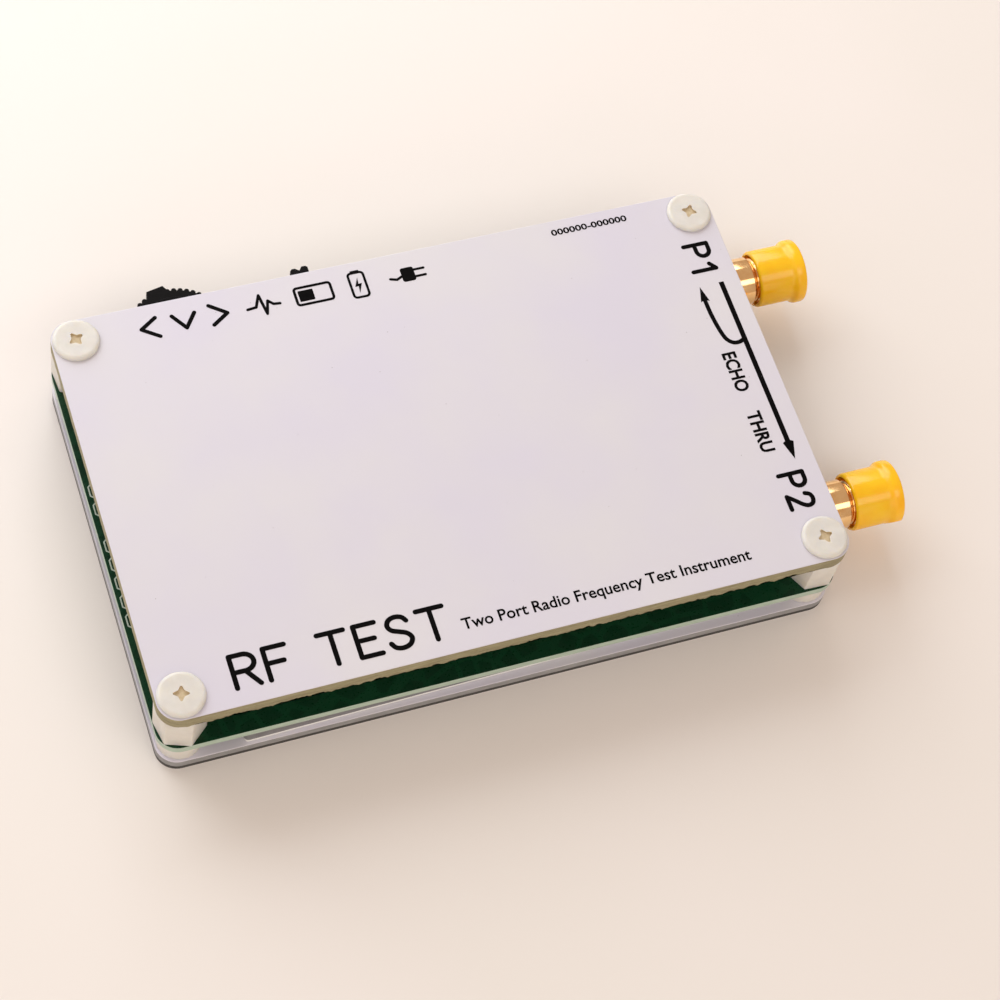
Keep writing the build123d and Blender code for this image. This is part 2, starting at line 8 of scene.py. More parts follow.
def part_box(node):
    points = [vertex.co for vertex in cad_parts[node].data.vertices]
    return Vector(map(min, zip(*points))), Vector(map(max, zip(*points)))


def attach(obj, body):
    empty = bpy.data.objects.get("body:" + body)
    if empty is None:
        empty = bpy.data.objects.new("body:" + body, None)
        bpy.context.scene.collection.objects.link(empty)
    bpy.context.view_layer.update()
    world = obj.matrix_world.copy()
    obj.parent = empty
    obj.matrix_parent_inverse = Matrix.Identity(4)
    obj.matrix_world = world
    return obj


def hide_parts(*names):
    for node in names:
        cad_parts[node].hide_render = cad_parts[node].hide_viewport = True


# A pocket vector network analyzer lying screen down on a pale table. Shapes are drawn
# in millimetres about the middle of the boards' outline, with z = 0 on the table, and
# moved to the row frame, in metres, when their object is made.

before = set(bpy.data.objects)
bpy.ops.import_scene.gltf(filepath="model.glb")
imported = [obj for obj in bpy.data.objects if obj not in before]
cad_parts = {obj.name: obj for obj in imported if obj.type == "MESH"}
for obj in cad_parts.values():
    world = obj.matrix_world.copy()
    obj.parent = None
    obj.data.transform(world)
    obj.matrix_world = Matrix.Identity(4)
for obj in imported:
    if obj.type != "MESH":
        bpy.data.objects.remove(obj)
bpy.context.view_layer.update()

MM = 0.001
COVER_LOW, COVER_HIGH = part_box("rear_cover")
CENTRE_X = (COVER_LOW.x + COVER_HIGH.x) / 2
CENTRE_Y = (COVER_LOW.y + COVER_HIGH.y) / 2
TO_ROW = Matrix.Translation((CENTRE_X, CENTRE_Y, 0)) @ Matrix.Scale(MM, 4)
TO_BOARD = TO_ROW.inverted()

LENGTH = 85.5
WIDTH = 54.0
CORNER_R = 2.7
HOLE_X = 39.75
HOLE_Y = 24.0
HOLE_R = 1.6
CORNERS = [(-1, -1), (1, -1), (1, 1), (-1, 1)]

PANEL_TOP = 2.0
BOARD_LOW = 5.0
BOARD_TOP = 6.2
COVER_Z = 12.2
COVER_TOP = 14.2

INK = 0.025


def box_of(node):
    """A CAD node's lowest and highest corner in board millimetres."""
    low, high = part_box(node)
    return TO_BOARD @ low, TO_BOARD @ high


# -------------------- outlines


def arc(x, y, radius, start, end, steps):
    """Points along a circle, from one angle to another in degrees."""
    turns = [radians(start + (end - start) * k / steps) for k in range(steps + 1)]
    return [(x + radius * cos(a), y + radius * sin(a)) for a in turns]


def ring(x, y, radius, steps=48):
    return arc(x, y, radius, 0, 360 - 360 / steps, steps - 1)


def rounded(low_x, high_x, low_y, high_y, radius, steps=8):
    """A rectangle with rounded corners, anticlockwise."""
    loop = arc(high_x - radius, high_y - radius, radius, 0, 90, steps)
    loop += arc(low_x + radius, high_y - radius, radius, 90, 180, steps)
    loop += arc(low_x + radius, low_y + radius, radius, 180, 270, steps)
    loop += arc(high_x - radius, low_y + radius, radius, 270, 360, steps)
    return loop


def centred(half_x, half_y, radius, steps=8, x=0.0, y=0.0):
    """A rounded rectangle about its middle."""
    return rounded(x - half_x, x + half_x, y - half_y, y + half_y, radius, steps)


def smooth_through(points, steps=6):
    """A Catmull-Rom curve through the points."""
    ends = [points[0], *points, points[-1]]
    out = []
    for a, b, c, d in zip(ends, ends[1:], ends[2:], ends[3:]):
        for k in range(steps):
            t = k / steps
            out.append(
                tuple(
                    0.5 * (2 * q + (r - p) * t + (2 * p - 5 * q + 4 * r - s) * t * t
                           + (3 * q - p - 3 * r + s) * t * t * t)
                    for p, q, r, s in zip(a, b, c, d)
                )
            )
    out.append(tuple(points[-1]))
    return out


def turned(points, angle):
    """Points turned anticlockwise about the origin by degrees."""
    c, s = cos(radians(angle)), sin(radians(angle))
    return [(c * u - s * v, s * u + c * v) for u, v in points]


# -------------------- meshes


def in_scene(name, data):
    """A new object in the scene."""
    thing = bpy.data.objects.new(name, data)
    bpy.context.scene.collection.objects.link(thing)
    return thing


def mesh_of(shape, name):
    """A mesh made from a shape, which is used up."""
    mesh = bpy.data.meshes.new(name)
    shape.to_mesh(mesh)
    shape.free()
    return mesh


def evaluated_shape(thing):
    """An object's shape after its curve settings and modifiers."""
    evaluated = thing.evaluated_get(bpy.context.evaluated_depsgraph_get())
    shape = bmesh.new()
    shape.from_mesh(evaluated.to_mesh())
    evaluated.to_mesh_clear()
    return shape


def curve_shape(curve):
    """A curve's shape. The curve is used up."""
    holder = in_scene("curve", curve)
    shape = evaluated_shape(holder)
    bpy.data.objects.remove(holder)
    bpy.data.curves.remove(curve)
    return shape


def circle(shape, z, radius, steps):
    """A ring of new points about Z."""
    angles = [2 * pi * k / steps for k in range(steps)]
    return [shape.verts.new((radius * cos(a), radius * sin(a), z)) for a in angles]


def band(shape, low, high):
    """Faces between two rings of points."""
    steps = len(low)
    for k in range(steps):
        n = (k + 1) % steps
        shape.faces.new((low[k], low[n], high[n], high[k]))


def plate(loops, low, high, bevel=0.0):
    """A plate between two heights, its first loop the outline and the others holes."""
    curve = bpy.data.curves.new("plate", "CURVE")
    curve.dimensions = "2D"
    curve.fill_mode = "BOTH"
    for loop in loops:
        spline = curve.splines.new("POLY")
        spline.points.add(len(loop) - 1)
        for point, (x, y) in zip(spline.points, loop):
            point.co = (x, y, 0, 1)
        spline.use_cyclic_u = True
    curve.extrude = (high - low) / 2 - bevel
    curve.bevel_depth = bevel
    curve.bevel_resolution = 2
    curve.offset = -bevel
    shape = curve_shape(curve)
    bmesh.ops.remove_doubles(shape, verts=shape.verts, dist=1e-4)
    bmesh.ops.recalc_face_normals(shape, faces=shape.faces)
    bmesh.ops.translate(shape, verts=shape.verts, vec=(0, 0, (low + high) / 2))
    return shape


def lathe(profile, steps):
    """Turns a profile of (height, radius) pairs about Z. Radius 0 closes an end."""
    shape = bmesh.new()
    rows = [circle(shape, z, r, steps if r else 1) for z, r in profile]
    for low, high in zip(rows, rows[1:]):
        if len(low) == 1:
            for k in range(steps):
                shape.faces.new((low[0], high[(k + 1) % steps], high[k]))
        elif len(high) == 1:
            for k in range(steps):
                shape.faces.new((low[k], low[(k + 1) % steps], high[0]))
        else:
            band(shape, low, high)
    bmesh.ops.recalc_face_normals(shape, faces=shape.faces)
    return shape


def block(x, y, z, bevel, segments=2):
    """A box from (low, high) pairs, with rounded edges."""
    shape = bmesh.new()
    bmesh.ops.create_cube(shape, size=1)
    sizes = [b - a for a, b in (x, y, z)]
    middle = [(a + b) / 2 for a, b in (x, y, z)]
    bmesh.ops.scale(shape, verts=shape.verts, vec=sizes)
    bmesh.ops.translate(shape, verts=shape.verts, vec=middle)
    round_edges(shape, bevel, segments)
    return shape


def round_edges(shape, width, segments):
    """Bevels every edge that turns more than 30 degrees."""
    limit = radians(30)
    edges = [e for e in shape.edges if len(e.link_faces) == 2 and e.calc_face_angle() > limit]
    bmesh.ops.bevel(shape, geom=edges, offset=width, segments=segments, profile=0.5,
                    affect="EDGES", clamp_overlap=True)


def join(*shapes):
    """Several shapes as one. The first one grows and the rest are used up."""
    whole = shapes[0]
    for shape in shapes[1:]:
        add(whole, shape)
    return whole


def add(whole, shape, index=0):
    """Adds a shape to another, its faces given a material index above their own."""
    for face in shape.faces:
        face.material_index += index
    spare = mesh_of(shape, "spare")
    whole.from_mesh(spare)
    bpy.data.meshes.remove(spare)


def move(shape, x=0.0, y=0.0, z=0.0, turn=0.0, axis="Z"):
    """Turns a shape about an axis by degrees, then moves it."""
    bmesh.ops.transform(shape, verts=shape.verts, matrix=Matrix.Rotation(radians(turn), 4, axis))
    bmesh.ops.translate(shape, verts=shape.verts, vec=(x, y, z))
    return shape


def along_x(shape, x, y, z):
    """Lays a shape made about Z along +X, with its z = 0 at x."""
    return move(shape, x, y, z, 90, "Y")


def cut(shape, cutter):
    """One shape minus another."""
    objects = [in_scene("cut", mesh_of(part, "cut")) for part in (shape, cutter)]
    whole, tool = objects
    modifier = whole.modifiers.new("cut", "BOOLEAN")
    modifier.operation = "DIFFERENCE"
    modifier.solver = "EXACT"
    modifier.object = tool
    result = evaluated_shape(whole)
    for part in objects:
        mesh = part.data
        bpy.data.objects.remove(part)
        bpy.data.meshes.remove(mesh)
    return result


def islands(node):
    """The (lowest, highest) corners of each separate solid of a CAD node, in millimetres."""
    shape = bmesh.new()
    shape.from_mesh(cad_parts[node].data)
    bmesh.ops.remove_doubles(shape, verts=shape.verts, dist=1e-7)
    left = set(shape.verts)
    found = []
    while left:
        queue = [left.pop()]
        members = []
        while queue:
            vert = queue.pop()
            members.append(TO_BOARD @ vert.co)
            for edge in vert.link_edges:
                other = edge.other_vert(vert)
                if other in left:
                    left.remove(other)
                    queue.append(other)
        low = Vector([min(p[k] for p in members) for k in range(3)])
        high = Vector([max(p[k] for p in members) for k in range(3)])
        found.append((low, high))
    shape.free()
    return sorted(found, key=lambda pair: (round(pair[0].x, 3), round(pair[0].y, 3)))


def piece(name, shape, body, finishes, nodes=(), sharp=32):
    """Makes a shape an object of the row frame, riding on a body and standing for CAD nodes."""
    mesh = mesh_of(shape, name)
    mesh.transform(TO_ROW)
    for finish in finishes:
        mesh.materials.append(finish)
    mesh.shade_smooth()
    mesh.set_sharp_from_angle(angle=radians(sharp))
    for face in mesh.polygons:
        if abs(face.normal.z) > 0.9999:
            face.use_smooth = False
    thing = in_scene(name, mesh)
    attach(thing, body)
    if nodes:
        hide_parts(*nodes)


# -------------------- materials


class Finish:
    """A Principled material and short ways to add nodes to it."""

    def __init__(self, name):
        self.material = bpy.data.materials.new(name)
        self.material.use_nodes = True
        self.tree = self.material.node_tree
        self.shader = self.tree.nodes["Principled BSDF"]
        self.place = self.node("ShaderNodeTexCoord").outputs["Object"]

    def node(self, kind, **values):
        made = self.tree.nodes.new(kind)
        for name, value in values.items():
            setattr(made, name, value)
        return made

    def link(self, source, target):
        self.tree.links.new(source, target)

    def set(self, **values):
        for name, value in values.items():
            self.shader.inputs[name.replace("_", " ")].default_value = value

    def scaled(self, stretch):
        """The place in millimetres, stretched along each axis."""
        mapping = self.node("ShaderNodeMapping")
        mapping.inputs["Scale"].default_value = [1 / (MM * s) for s in stretch]
        self.link(self.place, mapping.inputs["Vector"])
        return mapping.outputs["Vector"]

    def noise(self, size, detail, rough, stretch=(1, 1, 1)):
        """Noise whose features are about this many millimetres across."""
        made = self.node("ShaderNodeTexNoise")
        made.inputs["Scale"].default_value = 1.0
        made.inputs["Detail"].default_value = detail
        made.inputs["Roughness"].default_value = rough
        self.link(self.scaled([size * s for s in stretch]), made.inputs["Vector"])
        return made.outputs["Fac"]

    def cells(self, size, stretch=(1, 1, 1), feature="F1"):
        """Distance across cells about this many millimetres wide."""
        made = self.node("ShaderNodeTexVoronoi", feature=feature)
        made.inputs["Scale"].default_value = 1.0
        self.link(self.scaled([size * s for s in stretch]), made.inputs["Vector"])
        return made.outputs["Distance"]

    def ramp(self, factor, *stops):
        """Colours along a factor, from (position, colour) pairs."""
        made = self.node("ShaderNodeValToRGB")
        elements = made.color_ramp.elements
        while len(elements) < len(stops):
            elements.new(0.5)
        for element, (position, colour) in zip(elements, stops):
            element.position = position
            element.color = (*colour, 1)
        self.link(factor, made.inputs["Fac"])
        return made.outputs["Color"]

    def span(self, factor, low, high):
        """Noise spread between two values."""
        made = self.node("ShaderNodeMapRange")
        made.inputs["From Min"].default_value = 0.3
        made.inputs["From Max"].default_value = 0.7
        made.inputs["To Min"].default_value = low
        made.inputs["To Max"].default_value = high
        self.link(factor, made.inputs["Value"])
        return made.outputs["Result"]

    def mix(self, factor, a, b, blend="MIX"):
        """Two colours mixed; each may be a socket or a colour."""
        made = self.node("ShaderNodeMix", data_type="RGBA", blend_type=blend)
        for value, socket in ((factor, 0), (a, 6), (b, 7)):
            if isinstance(value, bpy.types.NodeSocket):
                self.link(value, made.inputs[socket])
            elif socket:
                made.inputs[socket].default_value = (*value, 1)
            else:
                made.inputs[socket].default_value = value
        return made.outputs[2]

    def colour(self, source):
        self.link(source, self.shader.inputs["Base Color"])

    def rough(self, source):
        self.link(source, self.shader.inputs["Roughness"])

    def bump(self, height, strength, depth):
        """A bump of this depth in millimetres."""
        made = self.node("ShaderNodeBump")
        made.inputs["Strength"].default_value = strength
        made.inputs["Distance"].default_value = depth * MM
        self.link(height, made.inputs["Height"])
        if self.shader.inputs["Normal"].links:
            self.link(self.shader.inputs["Normal"].links[0].from_socket, made.inputs["Normal"])
        self.link(made.outputs["Normal"], self.shader.inputs["Normal"])


def plain(name, dark, light, size, roughness, bump=(0.3, 0.02, 0.3), stretch=(1, 1, 1),
          **values):
    """A finish whose colour drifts between two shades, with its grain as bump.

    bump is the strength, the depth and the grain size, both in millimetres."""
    finish = Finish(name)
    drift = finish.noise(size, 5.0, 0.6, stretch)
    grain = finish.noise(bump[2], 3.0, 0.6, stretch)
    finish.colour(finish.ramp(drift, (0.3, dark), (0.7, light)))
    finish.rough(finish.span(grain, roughness[0], roughness[1]))
    finish.bump(grain, bump[0], bump[1])
    finish.set(**values)
    return finish.material


def make_white_mask():
    """Glossy white solder mask over glass cloth."""
    finish = Finish("white_mask")
    drift = finish.noise(16.0, 3.0, 0.5)
    peel = finish.noise(0.9, 2.0, 0.5)
    weave = finish.noise(2.2, 2.0, 0.5)
    specks = finish.cells(2.4)
    tone = finish.ramp(drift, (0.32, (0.615, 0.600, 0.690)), (0.68, (0.640, 0.632, 0.672)))
    speck = finish.ramp(specks, (0.018, (0.55, 0.53, 0.52)), (0.03, (1, 1, 1)))
    finish.colour(finish.mix(1.0, tone, speck, "MULTIPLY"))
    finish.rough(finish.span(weave, 0.30, 0.40))
    finish.bump(peel, 0.15, 0.008)
    finish.set(IOR=1.45)
    return finish.material


def make_laminate():
    """A routed edge of glass laminate: layers of tan resin and pale fibre."""
    finish = Finish("laminate_edge")
    layers = finish.noise(0.35, 4.0, 0.6, (9, 9, 0.6))
    fibre = finish.noise(0.12, 3.0, 0.7, (4, 4, 1))
    tone = finish.ramp(layers, (0.3, (0.155, 0.128, 0.056)), (0.55, (0.255, 0.222, 0.108)),
                       (0.78, (0.40, 0.365, 0.215)))
    finish.colour(finish.mix(finish.span(fibre, 0.0, 0.35), tone, (0.50, 0.48, 0.35)))
    finish.rough(finish.span(fibre, 0.55, 0.8))
    finish.bump(fibre, 0.6, 0.03)
    return finish.material


def make_green_mask():
    """Green solder mask, with the faint relief of the traces under it."""
    finish = Finish("green_mask")
    drift = finish.noise(5.0, 3.0, 0.5)
    traces = finish.cells(2.6, (1, 1, 50), "DISTANCE_TO_EDGE")
    grain = finish.noise(0.25, 2.0, 0.5)
    copper = finish.ramp(traces, (0.10, (0.0022, 0.036, 0.013)), (0.13, (0.0012, 0.026, 0.009)))
    tone = finish.ramp(drift, (0.3, (0.9, 0.95, 0.9)), (0.7, (1.1, 1.1, 1.05)))
    finish.colour(finish.mix(1.0, copper, tone, "MULTIPLY"))
    finish.rough(finish.span(grain, 0.26, 0.36))
    finish.bump(traces, 0.12, 0.015)
    finish.bump(grain, 0.10, 0.008)
    finish.set(Specular_IOR_Level=0.22)
    return finish.material


def make_green_edge():
    """The main board's routed edge: pale grey-green glass fibre."""
    finish = Finish("green_edge")
    layers = finish.noise(0.3, 4.0, 0.6, (9, 9, 0.5))
    fibre = finish.noise(0.1, 3.0, 0.7, (4, 4, 1))
    tone = finish.ramp(layers, (0.3, (0.26, 0.38, 0.29)), (0.55, (0.41, 0.53, 0.43)),
                       (0.78, (0.55, 0.64, 0.56)))
    finish.colour(finish.mix(finish.span(fibre, 0.0, 0.3), tone, (0.6, 0.65, 0.6)))
    finish.rough(finish.span(fibre, 0.5, 0.75))
    finish.bump(fibre, 0.6, 0.03)
    return finish.material


def make_gold():
    """Gold plate over turned brass, a little smudged."""
    finish = Finish("gold_plate")
    turning = finish.noise(0.12, 3.0, 0.6, (0.25, 12, 12))
    smudge = finish.noise(1.6, 3.0, 0.5)
    finish.colour(finish.ramp(smudge, (0.3, (0.94, 0.58, 0.25)), (0.7, (1.0, 0.71, 0.37))))
    finish.rough(finish.span(smudge, 0.10, 0.17))
    finish.bump(turning, 0.10, 0.004)
    finish.set(Metallic=1.0)
    return finish.material


def make_yellow():
    """Soft translucent polyethylene."""
    finish = Finish("cap_yellow")
    drift = finish.noise(3.0, 3.0, 0.5)
    flow = finish.noise(0.5, 4.0, 0.6, (3, 1, 1))
    finish.colour(finish.ramp(drift, (0.3, (1.0, 0.49, 0.004)), (0.7, (1.0, 0.57, 0.008))))
    finish.rough(finish.span(flow, 0.17, 0.25))
    finish.bump(flow, 0.06, 0.006)
    finish.set(Subsurface_Weight=0.25, Subsurface_Radius=(1.6, 0.7, 0.12),
               Subsurface_Scale=MM, IOR=1.5)
    return finish.material


def make_nylon():
    """Natural nylon: milky and slightly warm."""
    finish = Finish("nylon")
    drift = finish.noise(1.6, 3.0, 0.5)
    grain = finish.noise(0.2, 3.0, 0.6)
    finish.colour(finish.ramp(drift, (0.3, (0.635, 0.62, 0.575)), (0.7, (0.70, 0.685, 0.64))))
    finish.rough(finish.span(grain, 0.36, 0.5))
    finish.bump(grain, 0.25, 0.015)
    finish.set(Subsurface_Weight=0.5, Subsurface_Radius=(1.5, 1.2, 0.8), Subsurface_Scale=MM)
    return finish.material


def make_floor():
    """Pale painted board with faint warm and pink drifts."""
    finish = Finish("table")
    drift = finish.noise(60.0, 3.0, 0.5)
    fine = finish.noise(1.2, 4.0, 0.6)
    finish.colour(finish.ramp(drift, (0.3, (0.785, 0.755, 0.713)), (0.7, (0.805, 0.768, 0.738))))
    finish.rough(finish.span(fine, 0.5, 0.62))
    finish.bump(fine, 0.08, 0.02)
    return finish.material


WHITE_MASK = make_white_mask()
LAMINATE = make_laminate()
GREEN_MASK = make_green_mask()
GREEN_EDGE = make_green_edge()
GOLD = make_gold()
YELLOW = make_yellow()
NYLON = make_nylon()
# A darker, browner nylon for the faces inside the cross recesses.
RECESS_NYLON = plain("nylon_recess_darker", (0.50, 0.40, 0.24), (0.66, 0.56, 0.38), 0.5, (0.5, 0.7))
BLACK_INK = plain("ink", (0.0008, 0.0006, 0.0007), (0.0022, 0.0018, 0.0020), 1.0, (0.55, 0.75),
                  (0.3, 0.01, 0.08), Specular_IOR_Level=0.05)
WHITE_INK = plain("silkscreen", (0.40, 0.49, 0.41), (0.50, 0.59, 0.51), 1.0, (0.5, 0.65),
                  (0.3, 0.01, 0.08))
BLACK = plain("black_plastic", (0.0030, 0.0026, 0.0026), (0.0070, 0.0062, 0.0066), 1.2,
              (0.45, 0.6), (0.35, 0.02, 0.12), Specular_IOR_Level=0.07)
STEEL = plain("tinned_steel", (0.52, 0.51, 0.50), (0.66, 0.65, 0.63), 0.8, (0.26, 0.42),
              (0.15, 0.01, 0.1), Metallic=1.0)
PTFE = plain("ptfe", (0.80, 0.80, 0.78), (0.88, 0.88, 0.86), 1.0, (0.45, 0.6))
EPOXY = plain("epoxy_black", (0.016, 0.016, 0.018), (0.032, 0.032, 0.034), 0.6, (0.5, 0.7),
              (0.5, 0.02, 0.08))
FERRITE = plain("ferrite", (0.050, 0.048, 0.047), (0.085, 0.082, 0.08), 0.5, (0.55, 0.8),
                (0.6, 0.03, 0.1))
CAPACITOR = plain("capacitor_tan", (0.36, 0.22, 0.11), (0.48, 0.31, 0.17), 0.5, (0.45, 0.6),
                  (0.3, 0.01, 0.08))
RESISTOR = plain("resistor_black", (0.012, 0.012, 0.013), (0.028, 0.028, 0.03), 0.5, (0.3, 0.5),
                 (0.3, 0.01, 0.08))
FOAM = plain("foam", (0.03, 0.03, 0.032), (0.07, 0.07, 0.072), 0.4, (0.85, 1.0), (0.9, 0.08, 0.16))
POUCH = plain("cell_pouch", (0.55, 0.55, 0.56), (0.68, 0.68, 0.69), 3.0, (0.28, 0.46),
              (0.35, 0.05, 1.2), Metallic=0.85)
CONNECTOR = plain("connector_white", (0.78, 0.77, 0.72), (0.86, 0.85, 0.80), 1.0, (0.4, 0.55))
LEAD_RED = plain("lead_red", (0.45, 0.012, 0.012), (0.58, 0.022, 0.02), 1.0, (0.35, 0.5))
LEAD_BLACK = plain("lead_black", (0.012, 0.012, 0.012), (0.03, 0.03, 0.03), 1.0, (0.35, 0.5))
TRAY = plain("display_tray", (0.15, 0.15, 0.162), (0.205, 0.205, 0.222), 2.0, (0.4, 0.55),
             (0.2, 0.01, 0.3))
PANEL_EDGE = plain("panel_edge", (0.225, 0.225, 0.23), (0.325, 0.325, 0.33), 0.6, (0.5, 0.7),
                   (0.5, 0.03, 0.2), (3, 3, 0.5))
# Near-black painted contact shadow along the foot of the front panel's outer edge, where it meets
# the table.
CONTACT_SHADOW_EDGE = plain("panel_painted_contact_shadow", (0.018, 0.017, 0.016), (0.050, 0.048, 0.046), 0.4, (0.5, 0.7),
                  (0.5, 0.02, 0.15))
# Painted highlight: the touch glass's edge is near white, so it shows as a bright line along the
# display.
GLASS_EDGE_HIGHLIGHT = plain("glass_edge_painted_highlight", (0.86, 0.88, 0.87), (0.94, 0.95, 0.94), 1.5, (0.08, 0.2),
                   (0.1, 0.005, 0.3))
TOUCH = plain("touch_film", (0.012, 0.013, 0.016), (0.020, 0.021, 0.025), 12.0, (0.05, 0.11),
              (0.06, 0.004, 1.5), Coat_Weight=0.6, Coat_Roughness=0.04)
DISPLAY = plain("display_dark", (0.010, 0.011, 0.014), (0.016, 0.018, 0.022), 10.0, (0.10, 0.18),
                (0.05, 0.004, 1.0))
RIBBON = plain("ribbon_film", (0.42, 0.17, 0.02), (0.55, 0.25, 0.035), 1.5, (0.25, 0.4))
LED_CLEAR = plain("led_clear", (0.80, 0.80, 0.70), (0.90, 0.90, 0.82), 0.4, (0.1, 0.2))
TAPE = plain("tape", (0.68, 0.66, 0.60), (0.78, 0.76, 0.70), 1.0, (0.6, 0.8))
# Painted shade: the plated pads are near black, for the shade they lie in under the cover.
SHADED_PAD = plain("pad_plate_painted_shade", (0.020, 0.018, 0.010), (0.050, 0.043, 0.026), 0.8, (0.3, 0.5),
            (0.3, 0.01, 0.15), Metallic=0.5)
SOLDER = plain("solder", (0.58, 0.58, 0.58), (0.72, 0.72, 0.71), 0.3, (0.2, 0.4),
               (0.5, 0.02, 0.15), Metallic=1.0)


# -------------------- boards


def corner_rings(radius):
    return [ring(x * HOLE_X, y * HOLE_Y, radius) for x, y in CORNERS]


def split_faces(shape, level=0.7):
    """Gives faces that look sideways the second material."""
    shape.normal_update()
    for face in shape.faces:
        face.material_index = 0 if abs(face.normal.z) > level else 1
    return shape


def outward(place):
    """How far a place lies outside the boards' outline, less than 0 inside it."""
    return max(abs(place.x) - LENGTH / 2, abs(place.y) - WIDTH / 2)


def burr(shape, height, depth):
    """Makes the outer edge at one height ragged, most of all along the near side."""
    reach = 0.12
    for vert in shape.verts:
        if abs(vert.co.z - height) < reach and outward(vert.co) > -reach:
            broad = noise.noise(Vector((vert.co.x * 0.9, vert.co.y * 0.9, 3.0)))
            fine = noise.noise(Vector((vert.co.x * 2.9, vert.co.y * 2.9, 8.0)))
            share = 1.0 if vert.co.y < 0.1 - WIDTH / 2 else 0.35
            vert.co.z += share * depth * (broad + 0.6 * fine)


def fine_outline(step):
    """The boards' outline with its straight sides cut into short steps."""
    corners = centred(LENGTH / 2, WIDTH / 2, CORNER_R, 10)
    out = []
    for (ax, ay), (bx, by) in zip(corners, corners[1:] + corners[:1]):
        count = max(1, int(hypot(bx - ax, by - ay) / step))
        out += [(ax + (bx - ax) * k / count, ay + (by - ay) * k / count) for k in range(count)]
    return out


cover = plate([fine_outline(0.25), *corner_rings(HOLE_R)], COVER_Z, COVER_TOP, 0.08)
burr(cover, COVER_Z, 0.5)
piece("rear_cover_panel", split_faces(cover), "case", [WHITE_MASK, LAMINATE], ["rear_cover"])

WINDOW = centred(29.3, 22.3, 1.0, x=1.6, y=-0.6)
CONTACT_SHADOW_LINE = 0.8  # the panel's outer edge below this height is painted contact shadow
panel = plate([fine_outline(0.5), WINDOW, *corner_rings(HOLE_R)], 0, PANEL_TOP, 0.1)
sinks = bmesh.new()
for corner_x, corner_y in CORNERS:
    sink = lathe([(-0.2, 0.0), (-0.2, 3.1), (1.5, HOLE_R - 0.05), (1.5, 0.0)], 72)
    add(sinks, move(sink, corner_x * HOLE_X, corner_y * HOLE_Y))
panel = split_faces(cut(panel, sinks), 0.4)
# The outer edge's faces below this height get the painted contact shadow.
bmesh.ops.bisect_plane(panel, geom=panel.verts[:] + panel.edges[:] + panel.faces[:],
                       plane_co=(0, 0, CONTACT_SHADOW_LINE), plane_no=(0, 0, 1))
for face in panel.faces:
    middle = face.calc_center_median()
    if face.material_index == 1 and middle.z < CONTACT_SHADOW_LINE and outward(middle) > -1.0:
        face.material_index = 2
piece("front_panel_board", panel, "case", [WHITE_MASK, PANEL_EDGE, CONTACT_SHADOW_EDGE], ["front_panel"])

HEADER_X = -40.9
HEADER_Y = [7.94, 5.40] + [0.32 - 2.54 * k for k in range(5)]
PIN_R = 0.5
pin_holes = [ring(HEADER_X, y, PIN_R, 20) for y in HEADER_Y]
main = plate([fine_outline(0.35), *corner_rings(HOLE_R), *pin_holes], BOARD_LOW, BOARD_TOP, 0.05)
piece("main_circuit_board", split_faces(main), "case", [GREEN_MASK, GREEN_EDGE], ["main_board"])


# -------------------- fasteners


SCREW_TURNS = {(-1, -1): 77.0, (1, -1): 14.0, (1, 1): 63.0, (-1, 1): 27.0}
STANDOFF_TURNS = {(-1, -1): 41.0, (1, -1): 58.0, (1, 1): 12.0, (-1, 1): 35.0}
STANDOFF_R = 3.1754
HEAD_H = 0.6
HEAD_R = 2.85
SHANK_R = 1.45
SHANK_TIP_R = 1.2
RECESS_HALF = 0.95


def cross_outline():
    """A worn cross: four rounded tips, with the corners between them eaten away."""
    tip_r, corner = 0.17, 0.38
    out = []
    for quarter in range(4):
        tip = arc(RECESS_HALF - tip_r, 0, tip_r, -70, 70, 6)
        out += turned([*tip, (corner, corner)], 90 * quarter)
    return out


def with_recess(head, turn, cut_span, darker_span):
    """Cuts the worn cross between two heights and gives its faces between two others a darker,
    browner nylon.
    """
    head = cut(head, move(plate([cross_outline()], *cut_span), turn=turn))
    for face in head.faces:
        middle = face.calc_center_median()
        near = hypot(middle.x, middle.y) < RECESS_HALF + 0.1
        if near and darker_span[0] < middle.z < darker_span[1]:
            face.material_index = 1
    return head


def screw_head(turn):
    """A worn nylon head, low and rounded, with a cross recess in its top."""
    low, high = COVER_TOP, COVER_TOP + HEAD_H
    drop, inset = 0.42, 0.5
    edge = [(high - drop + drop * sin(a), HEAD_R - inset + inset * cos(a))
            for a in [radians(9 * k) for k in range(11)]]
    profile = [(low, 0.0), (low, 2.72), (low + 0.05, 2.84), *edge, (high, 1.4), (high, 0.0)]
    return with_recess(lathe(profile, 72), turn, (high - 0.3, high + 0.5), (low, high - 0.05))


def four(make):
    """One piece at each corner, joined."""
    return join(*[move(make((x, y)), x * HOLE_X, y * HOLE_Y) for x, y in CORNERS])


def rear_screw(corner):
    """A pan head on a shank that ends in the top half of a standoff."""
    shank = [(9.5, 0.0), (9.5, SHANK_TIP_R), (9.7, SHANK_R), (COVER_TOP + 0.01, SHANK_R)]
    return join(screw_head(SCREW_TURNS[corner]), lathe(shank, 40))


def standoff(corner):
    hexagon = [(STANDOFF_R * cos(radians(60 * k)), STANDOFF_R * sin(radians(60 * k)))
               for k in range(6)]
    body = plate([hexagon, ring(0, 0, 1.55)], BOARD_TOP, COVER_Z)
    round_edges(body, 0.14, 3)
    return move(body, turn=STANDOFF_TURNS[corner])


def spacer(_corner):
    return plate([ring(0, 0, 2.75), ring(0, 0, 1.6)], PANEL_TOP, BOARD_LOW, 0.12)


